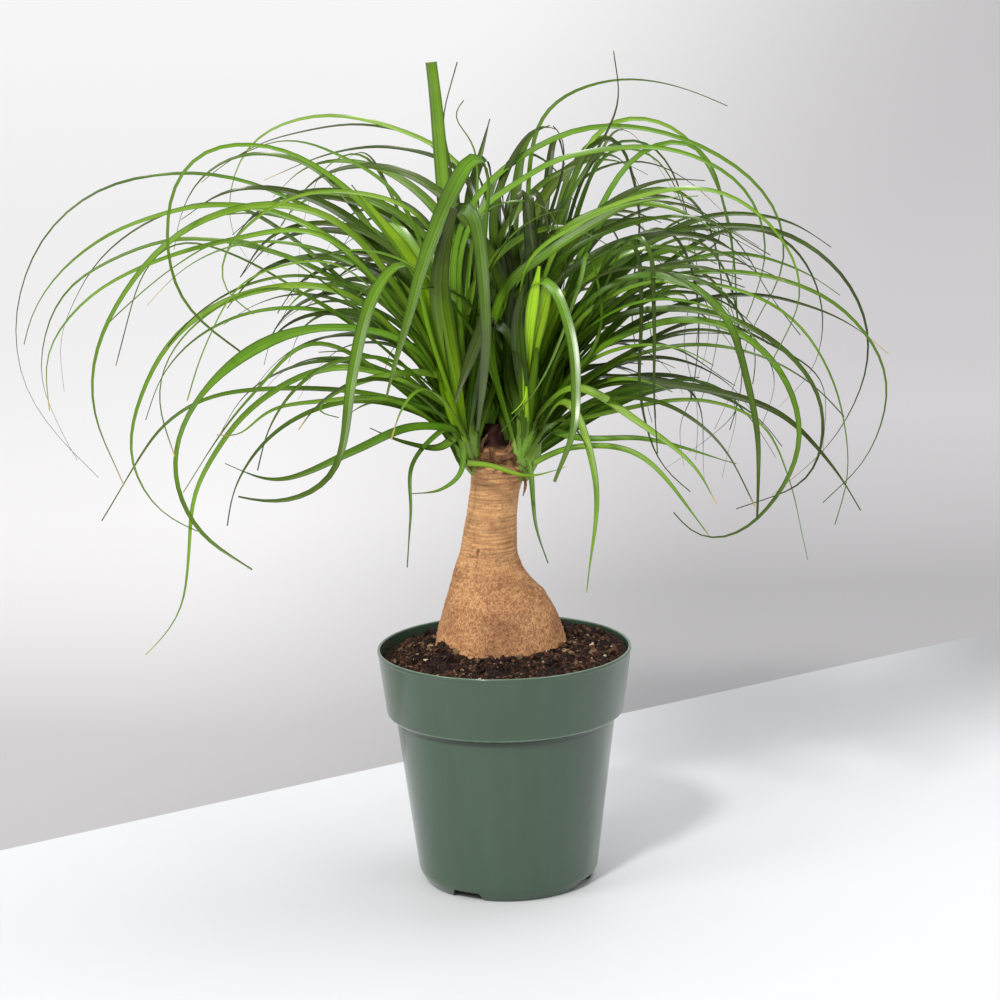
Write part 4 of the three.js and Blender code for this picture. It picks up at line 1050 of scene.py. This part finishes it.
def smooth_line(points, count):
    """Even stations on a centripetal curve through the points."""
    ends = [points[0] * 2 - points[1], *points, points[-1] * 2 - points[-2]]
    fine = []
    for a, b, c, d in zip(ends, ends[1:], ends[2:], ends[3:]):
        ta, tb, tc = (max((q - p).length, 1e-6) ** 0.5 for p, q in ((a, b), (b, c), (c, d)))
        start = ((b - a) / ta - (c - a) / (ta + tb) + (c - b) / tb) * tb
        finish = ((c - b) / tb - (d - b) / (tb + tc) + (d - c) / tc) * tb
        for step in range(16):
            u = step / 16
            fine.append(b + start * u + (3 * (c - b) - 2 * start - finish) * u ** 2
                        + (2 * (b - c) + start + finish) * u ** 3)
    fine.append(points[-1])
    travelled = [0]
    for p, q in zip(fine, fine[1:]):
        travelled.append(travelled[-1] + (q - p).length)
    stations, i = [], 0
    for station in range(count):
        target = travelled[-1] * station / (count - 1)
        while i < len(fine) - 2 and travelled[i + 1] < target:
            i += 1
        part = (target - travelled[i]) / max(travelled[i + 1] - travelled[i], 1e-9)
        stations.append(fine[i].lerp(fine[i + 1], min(1, part)))
    for _ in range(4):
        stations[1:-1] = [p * 0.25 + q * 0.5 + r * 0.25
                          for p, q, r in zip(stations, stations[1:], stations[2:])]
    reach = min(1, travelled[-1] / RISE_LENGTH)
    return [point + noise.noise_vector(point * 22) * LEAF_WOBBLE * reach * station / count
            for station, point in enumerate(stations)]


def leaf_sides(stations, twist):
    """The direction across the blade at each station. The face leans forward at the top of the arch,
    follows the bends both ways from there, and twists along the leaf."""
    count = len(stations)
    tangents = [(stations[min(i + 1, count - 1)] - stations[max(i - 1, 0)]).normalized()
                for i in range(count)]
    apex = min(range(count), key=lambda i: abs(tangents[i].z))

    def flattened(guide, tangent):
        return (guide - tangent * guide.dot(tangent)).normalized()

    sides = [None] * count
    sides[apex] = flattened(LEANING, tangents[apex]).cross(tangents[apex])
    for i in range(apex + 1, count):
        sides[i] = flattened(sides[i - 1], tangents[i])
    for i in range(apex - 1, -1, -1):
        sides[i] = flattened(sides[i + 1], tangents[i])
    turned = []
    for i, (side, tangent) in enumerate(zip(sides, tangents)):
        angle = twist * (i - apex) / count
        turned.append(side * math.cos(angle) + tangent.cross(side) * math.sin(angle))
    return turned


def strap_leaves_tree():
    """Sweeps a thin channelled section along midribs. Breadth and side come from the midribs."""
    tree = Tree("strap_leaves", {
        "Section points": "Int", "Thickness": "Float", "Channel": "Float", "Material": "Material"})
    given = tree.given
    midribs = tree.add("GeometryNodeMeshToCurve", {"Mesh": given["Geometry"]})
    faced = tree.add("GeometryNodeSetCurveNormal", {
        "Curve": midribs, "Normal": tree.named("side", "FLOAT_VECTOR")}, mode="FREE")
    ring = tree.add("GeometryNodeCurvePrimitiveCircle", {
        "Resolution": given["Section points"], "Radius": 1.0})
    place = tree.add("ShaderNodeSeparateXYZ", {"Vector": tree.add("GeometryNodeInputPosition")}).node.outputs
    curled = tree.maths("POWER", tree.maths("ABSOLUTE", place["X"]), 1.1)
    channel = tree.maths("MULTIPLY", curled, given["Channel"])
    lift = tree.maths("MULTIPLY_ADD", place["Y"], given["Thickness"], channel)
    spot = tree.add("ShaderNodeCombineXYZ", {"X": place["X"], "Y": lift})
    section = tree.store(ring, "across", place["X"], "POINT")
    thin = tree.add("GeometryNodeSetPosition", {"Geometry": section, "Position": spot})
    blades = tree.add("GeometryNodeCurveToMesh", {
        "Curve": faced, "Profile Curve": thin, "Scale": tree.named("breadth"), "Fill Caps": True})
    return tree.finish(tree.add("GeometryNodeRealizeInstances", {"Geometry": blades}))


def midrib_mesh(name, leaves):
    """Lines of stations with the values that the leaves are swept and coloured by."""
    points, edges = [], []
    values = {"side": [], "breadth": [], "base": [], "tone": [], "cool": [], "young": [], "dry": []}
    for leaf in leaves:
        stations = smooth_line(leaf["line"], LEAF_STATIONS)
        length = sum((q - p).length for p, q in zip(stations, stations[1:]))
        first = len(points)
        for i, (point, side) in enumerate(zip(stations, leaf_sides(stations, leaf["twist"]))):
            along = i / (len(stations) - 1)
            base = max(0, 1 - along * length / LEAF_BASE_LENGTH)
            width = leaf["width"] * (1 + LEAF_FLARE * base) * (1 - along ** leaf.get("taper", LEAF_TAPER))
            if "breadths" in leaf:
                width = between(leaf["breadths"], along * (len(leaf["breadths"]) - 1)) * PIXEL
            points.append(point)
            values["side"].extend(side)
            values["breadth"].append(max(width, LEAF_TIP_WIDTH) / 2)
            values["base"].append(base)
            values["tone"].append(leaf["tone"] - LEAF_TIP_SHADE * along ** 2)
            values["cool"].append(leaf.get("cool", 0.3) * (1 - along))
            values["young"].append(leaf.get("young", 0) * (1 - along) ** leaf.get("fading", 1.5))
            values["dry"].append(limited((along - leaf["dry_from"]) / DRY_FADE))
        edges.extend((i, i + 1) for i in range(first, len(points) - 1))
    mesh = bpy.data.meshes.new(name)
    mesh.from_pydata(points, edges, [])
    store_values(mesh, values)
    return mesh


def waxy_leaf(name, tone_shift):
    """Waxy green blade: each leaf its own green, a paler midrib that is a painted reflection, a dark edge
    that is painted shade, fine veins along it, yellow-green when young, and a straw tip where it has dried."""
    paint = Paint(name, 0.32, 0.12)
    mottle = paint.maths("MULTIPLY_ADD", paint.noise(28, 3), 0.5, tone_shift - 0.25)
    tone = paint.maths("ADD", paint.value("tone"), mottle)
    colour = paint.ramp(tone, (0.1, LEAF_DARK), (0.5, LEAF_MID), (0.95, LEAF_LIGHT))
    colour = paint.mix(paint.value("cool"), colour, paint.times(colour, LEAF_COOL_SHADE))
    colour = paint.mix(paint.value("young"), colour, LEAF_YOUNG)
    colour = paint.mix(paint.ramp(paint.value("base"), (0.2, 0), (1, 0.7)), colour, LEAF_BASE_PALE)
    veins = paint.maths("SINE", paint.maths("MULTIPLY", paint.value("across"), LEAF_VEINS))
    colour = paint.times(colour, paint.ramp(veins, (0, 0.88), (1, 1.08)))
    # Painted reflection as a paler midrib along the channel, and painted shade darkening the blade's edges.
    margin = paint.ramp(paint.maths("ABSOLUTE", paint.value("across")), (0, (1.25, 1.22, 1.1, 1)),
                        (0.12, 1), (0.6, 1), (0.95, (0.45, 0.47, 0.42, 1)))
    colour = paint.times(colour, margin)
    colour = paint.mix(paint.ramp(paint.value("dry"), (0, 0), (0.7, 1)), colour, LEAF_STRAW)
    return paint.cover({"Base Color": colour, "Normal": paint.bump(veins, LEAF_VEIN_RELIEF, 0.5),
                        "Coat Weight": 0.26, "Coat Roughness": 0.17})


def head_leaves(side, head):
    """Every leaf of a head with its line, width, twist and look: those that are read first, then
    those that are drawn by rule."""
    rng = random.Random(head["seed"])
    leaves = []

    def grow(line, width, **look):
        leaves.append({"line": line, "width": width, **look})

    for index, (depth, width, pixels, *notes) in enumerate(LEAVES[side]):
        notes = dict(*notes)
        breadth = notes.get("breadth", width * LEAF_WIDTH_FACTOR)
        tone = rng.gauss(0.55, 0.2) + (width - 6) * 0.03 - depth / 600
        twist = rng.uniform(-1, 1) * (0.3 if notes else 1) * LEAF_TWIST
        look = {"dry_from": 1 if notes else rng.uniform(0.93, 1.1),
                "cool": 0.7 if notes else rng.uniform(0, 0.6)}
        grow(read_line(head, index, depth * MM, pixels), breadth * PIXEL,
             **{"twist": twist, "tone": min(0.78, max(0.2, tone)), **look, **notes})
    for index, (depth, width, pixels, *notes) in enumerate(EXTRA_LEAVES[side]):
        notes = dict(*notes)
        root_head = HEADS[notes.get("root", side)]
        look = {"twist": 0 if width > 8 else rng.uniform(-1, 1) * LEAF_TWIST, "dry_from": 1,
                "taper": BROAD_TAPER if width > 9 else LEAF_TAPER, "tone": rng.uniform(0.3, 0.65),
                "cool": rng.uniform(0.3, 0.9)}
        grow(read_line(root_head, index, depth * MM, pixels), width * PIXEL, **{**look, **notes})
    for line, width in ruled_leaves(head):
        grow(line, width, twist=rng.uniform(-2, 2) * LEAF_TWIST, taper=RULED_TAPER,
             tone=rng.uniform(0.1, 0.65), dry_from=rng.uniform(0.9, 1.1), cool=rng.uniform(0, 0.7))
    for line, width, young in crown_leaves(head, rng):
        grow(line, width, young=young, twist=rng.uniform(-2, 2) * LEAF_TWIST, taper=CROWN_TAPER,
             tone=rng.uniform(0.12, 0.82), dry_from=1, cool=rng.uniform(0, 0.9))
    for line, width in basal_leaves(head, rng):
        grow(line, width, young=0.1, twist=rng.uniform(-1, 1) * LEAF_TWIST, taper=RULED_TAPER,
             tone=rng.uniform(0.2, 0.8), dry_from=rng.uniform(0.9, 1.1))
    return leaves


def core_mesh(side, head):
    """The column of packed leaf bases that a head's leaves grow out of, ribbed by their edges."""
    axis = core_axis(head)
    across = Vector((0, -1, 0)).cross(axis).normalized()
    other = across.cross(axis)
    loops = []
    for row in range(CORE_ROWS + 1):
        t = row / CORE_ROWS * (len(CORE_SHARES) - 1)
        height, share = between(CORE_HEIGHTS, t), between(CORE_SHARES, t)
        loop = []
        for spoke in range(CORE_SIDES):
            angle = 2 * math.pi * spoke / CORE_SIDES
            wrap = (7 * angle / (2 * math.pi) + height / CORE_WRAP_HEIGHT) % 1
            reach = share * head["radius"] * MM * (0.94 + 0.1 * wrap)
            loop.append(Vector(head["foot"]) * MM + axis * height
                        + across * reach * math.cos(angle) + other * reach * math.sin(angle))
        loops.append(loop)
    mesh = looped_mesh("leaf_bases_" + side, loops)
    bm = bmesh.new()
    bm.from_mesh(mesh)
    bmesh.ops.holes_fill(bm, edges=[edge for edge in bm.edges if edge.is_boundary], sides=0)
    bmesh.ops.recalc_face_normals(bm, faces=bm.faces)
    bm.to_mesh(mesh)
    bm.free()
    return mesh


noise.seed_set(LEAF_WOBBLE_SEED)
leaf_sweep = strap_leaves_tree()
# The back head gets a darker copy of the leaf green: painted shade for the leaves behind and between the
# heads.
leaf_greens = {"left": waxy_leaf("waxy_leaf", 0), "right": waxy_leaf("waxy_leaf_right", 0),
               "back": waxy_leaf("waxy_leaf_dark", -0.25)}
leaf_section = {"Section points": LEAF_SECTION_POINTS, "Thickness": LEAF_THICKNESS}
bases_green = grainy("leaf_bases", 0.6, 0.35, (260, 5, (1, 1, 0.15)),
                     [(0.22, SHEATH_TAN), (0.32, LEAF_MID), (0.7, LEAF_BASE_PALE)], (BASES_RELIEF, 0.8))
for side, head in HEADS.items():
    foliage = add_object("leaves_" + side, midrib_mesh("leaves_" + side, head_leaves(side, head)))
    leaf_sweep.dress(foliage, {**leaf_section, "Channel": LEAF_CHANNEL, "Material": leaf_greens[side]})
    shade_smooth(foliage.data, 30)
    core = add_object("leaf_bases_" + side, core_mesh(side, head), bases_green)
    shade_smooth(core.data, 50)
    for piece in (foliage, core):
        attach(piece, "root")
    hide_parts("head_" + side)

# Dry leaf sheaths: brown papery remains of shed leaves, still held by their bases round the top of
# the trunk. Most are short curled scraps, and one hangs down on the right.
SHEATH_COUNT = 64
SHEATH_SEED = 5
SHEATH_LENGTHS = (6, 13)
SHEATH_WIDTHS = (2.2, 4.5)
SHEATH_CHANNEL = 0.7
SHEATH_RELIEF = 0.4 * MM
SHEATH_BROWN = (0.13, 0.052, 0.022, 1)
HANGING_DEPTH = -12 * MM
HANGING_SHEATHS = [
    (1.6, [[522, 475], [525, 481], [525, 488], [523, 496]]),
    (4, [[518, 462], [526, 466], [530, 474]]),
    (3.5, [[476, 458], [472, 464], [472, 472]]),
]


def sheath_scraps(rng):
    for index in range(SHEATH_COUNT):
        angle = index * 360 * GOLDEN_SHARE
        lift = rng.uniform(-9, 8) * MM
        out = neck.z - max(0, lift) * 0.3 - 0.3 * MM
        start = Vector((neck.x, 0, neck.y + lift)) + level_way(angle) * out
        round_way = rng.choice((-1, 1))
        line = arching_line(start, angle + round_way * 82, rng.uniform(*SHEATH_LENGTHS) * MM,
                            rng.uniform(0, 75), rng.uniform(-40, 60), round_way * rng.uniform(20, 60))
        yield line, rng.uniform(*SHEATH_WIDTHS) * MM
    for width, pixels in HANGING_SHEATHS:
        yield [point_at(pixel, HANGING_DEPTH) for pixel in pixels], width * MM


sheath_rng = random.Random(SHEATH_SEED)
papery = grainy("papery_sheath", 0.75, 0.3, (300, 5, (1, 1, 0.3)),
                [(0.42, SHEATH_BROWN), (0.78, SHEATH_TAN)], (SHEATH_RELIEF, 0.8))
scraps = [{"line": line, "width": width, "tone": 0.5, "dry_from": 1, "taper": BROAD_TAPER,
           "twist": sheath_rng.uniform(-3, 3) * LEAF_TWIST} for line, width in sheath_scraps(sheath_rng)]
sheaths = add_object("dry_sheaths", midrib_mesh("dry_sheaths", scraps))
leaf_sweep.dress(sheaths, {**leaf_section, "Channel": SHEATH_CHANNEL, "Material": papery})
shade_smooth(sheaths.data, 60)
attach(sheaths, "root")

# Stage: a bright table top with its slanted rear edge, a pale floor beyond it, soft light from the
# front left and above, and the camera where the picture's eye stands.
SUN_FROM = Vector((-0.31, -0.64, 0.70))
SUN_POWER = 1.75
SUN_SPREAD = math.radians(7)
SUN_WARM = (1.0, 0.985, 0.96)
SOFTBOXES = [
    ("left_softbox", (-1.6, -0.9, 1.5), 0.9, 15),
    ("top_softbox", (0.5, 0.3, 1.9), 1.0, 13),
    ("right_softbox", (1.3, -1.1, 0.9), 0.6, 3),
]
SOFTBOX_AIM = Vector((0, 0, 0.3))
WORLD_GREY = (0.98, 0.985, 1.0, 1)
WORLD_STRENGTH = 0.6
FLOOR_DROP = -0.8 * MM
FLOOR_REACH = 60
FLOOR_LEFT = [
    (0.04, (0.985, 0.98, 0.98, 1)), (0.35, (0.77, 0.76, 0.765, 1)), (0.41, (0.66, 0.65, 0.655, 1)),
    (0.49, (0.465, 0.455, 0.46, 1)), (0.58, (0.43, 0.42, 0.425, 1)),
]
FLOOR_RIGHT = [
    (0.034, 0.565), (0.12, 0.59), (0.19, 0.61), (0.29, 0.573), (0.345, 0.465), (0.4, 0.35), (0.49, 0.36),
]
FLOOR_SLANT = 0.32
FLOOR_TURN = (-0.01, 0.22)
TABLE_DROP = -0.4 * MM
TABLE_REACH = 4
TABLE_NEAR = -3
TABLE_CORNERS = [(2600, 278), (-1600, 1202)]
TABLE_WHITE = (0.70, 0.705, 0.72, 1)
TABLE_SHADE_ALONG = [(0.03, 1), (0.08, 0.77), (0.135, 0.73), (0.185, 0.49)]
TABLE_EDGE_SLANT = 0.394
TABLE_EDGE_FADE = (0.515, 0.605)
FAN_ORIGIN = -1.7
SENSOR_WIDTH = 36
SIGHT_LIMIT = 200


def table_point(pixel):
    ray = pixel_ray(*pixel)
    spot = EYE - ray * (EYE.z / ray.z)
    return spot.x, spot.y, TABLE_DROP


def stage_plane(name, corners, material):
    mesh = bpy.data.meshes.new(name)
    mesh.from_pydata(corners, [], [tuple(range(len(corners)))])
    plane = add_object(name, mesh, material)


def fan_paint(name, roughness):
    """A paint for the stage, with how far aside and how near a point lies from the fan's origin."""
    paint = Paint(name, roughness, 0.3)
    ahead = paint.maths("MAXIMUM", paint.maths("SUBTRACT", paint.axis("Y"), FAN_ORIGIN), 0)
    return paint, paint.maths("DIVIDE", paint.axis("X"), ahead), paint.maths("DIVIDE", 1, ahead)


def table_top():
    """White table, in shade along its rear edge at the right."""
    paint, aside, near = fan_paint("table_top", 0.5)
    slanted = paint.maths("MULTIPLY_ADD", aside, TABLE_EDGE_SLANT, near)
    shaded = paint.times(TABLE_WHITE, paint.ramp(aside, *TABLE_SHADE_ALONG))
    from_edge = paint.ranged(slanted, *TABLE_EDGE_FADE)
    return paint.cover({"Base Color": paint.mix(from_edge, shaded, TABLE_WHITE)})


def room_floor():
    """Pale floor with painted light and shade: it darkens toward the table, in a light range at the left
    and a grey one at the right."""
    paint, aside, near = fan_paint("room_floor", 0.8)
    slanted = paint.maths("MULTIPLY_ADD", near, FLOOR_SLANT, aside)
    left_colour = paint.ramp(near, *FLOOR_LEFT)
    right_colour = paint.ramp(near, *((spot, (grey, grey * 0.98, grey, 1)) for spot, grey in FLOOR_RIGHT))
    to_right = paint.ranged(slanted, *FLOOR_TURN)
    return paint.cover({"Base Color": paint.mix(to_right, left_colour, right_colour)})


def put_light(name, lamp, way, place=(0, 0, 0)):
    """Hangs a lamp at a place. It shines against the way that is given."""
    light = bpy.data.objects.new(name, lamp)
    light.location = place
    light.rotation_euler = way.to_track_quat("Z", "Y").to_euler()
    bpy.context.collection.objects.link(light)


table_corners = [(-TABLE_REACH, TABLE_NEAR, TABLE_DROP), (TABLE_REACH, TABLE_NEAR, TABLE_DROP)]
stage_plane("table_top", table_corners + [table_point(pixel) for pixel in TABLE_CORNERS], table_top())
floor_corners = [(x * FLOOR_REACH, y * FLOOR_REACH, FLOOR_DROP)
                 for x, y in ((-1, -1), (1, -1), (1, 1), (-1, 1))]
stage_plane("room_floor", floor_corners, room_floor())
sun = bpy.data.lights.new("window_sun", "SUN")
sun.energy = SUN_POWER
sun.angle = SUN_SPREAD
sun.color = SUN_WARM
put_light("window_sun", sun, SUN_FROM)
for name, place, size, power in SOFTBOXES:
    lamp = bpy.data.lights.new(name, "AREA")
    lamp.shape = "DISK"
    lamp.size = size
    lamp.energy = power
    put_light(name, lamp, Vector(place) - SOFTBOX_AIM, place)
world = bpy.data.worlds.new("pale_room")
bpy.context.scene.world = world
world.use_nodes = True
world.node_tree.nodes["Background"].inputs["Color"].default_value = WORLD_GREY
world.node_tree.nodes["Background"].inputs["Strength"].default_value = WORLD_STRENGTH
bpy.context.scene.view_settings.view_transform = "Standard"

camera_data = bpy.data.cameras.new("picture_eye")
camera_data.sensor_width = SENSOR_WIDTH
camera_data.lens = SENSOR_WIDTH * FOCAL_PIXELS / PICTURE_WIDTH
camera_data.clip_end = SIGHT_LIMIT
camera = bpy.data.objects.new("picture_eye", camera_data)
camera.location = EYE
camera.rotation_mode = "XYZ"
turn = Matrix.Rotation(math.pi / 2 - EYE_TILT, 4, "X") @ Matrix.Rotation(-EYE_ROLL, 4, "Z")
camera.rotation_euler = turn.to_euler()
bpy.context.collection.objects.link(camera)
bpy.context.scene.camera = camera
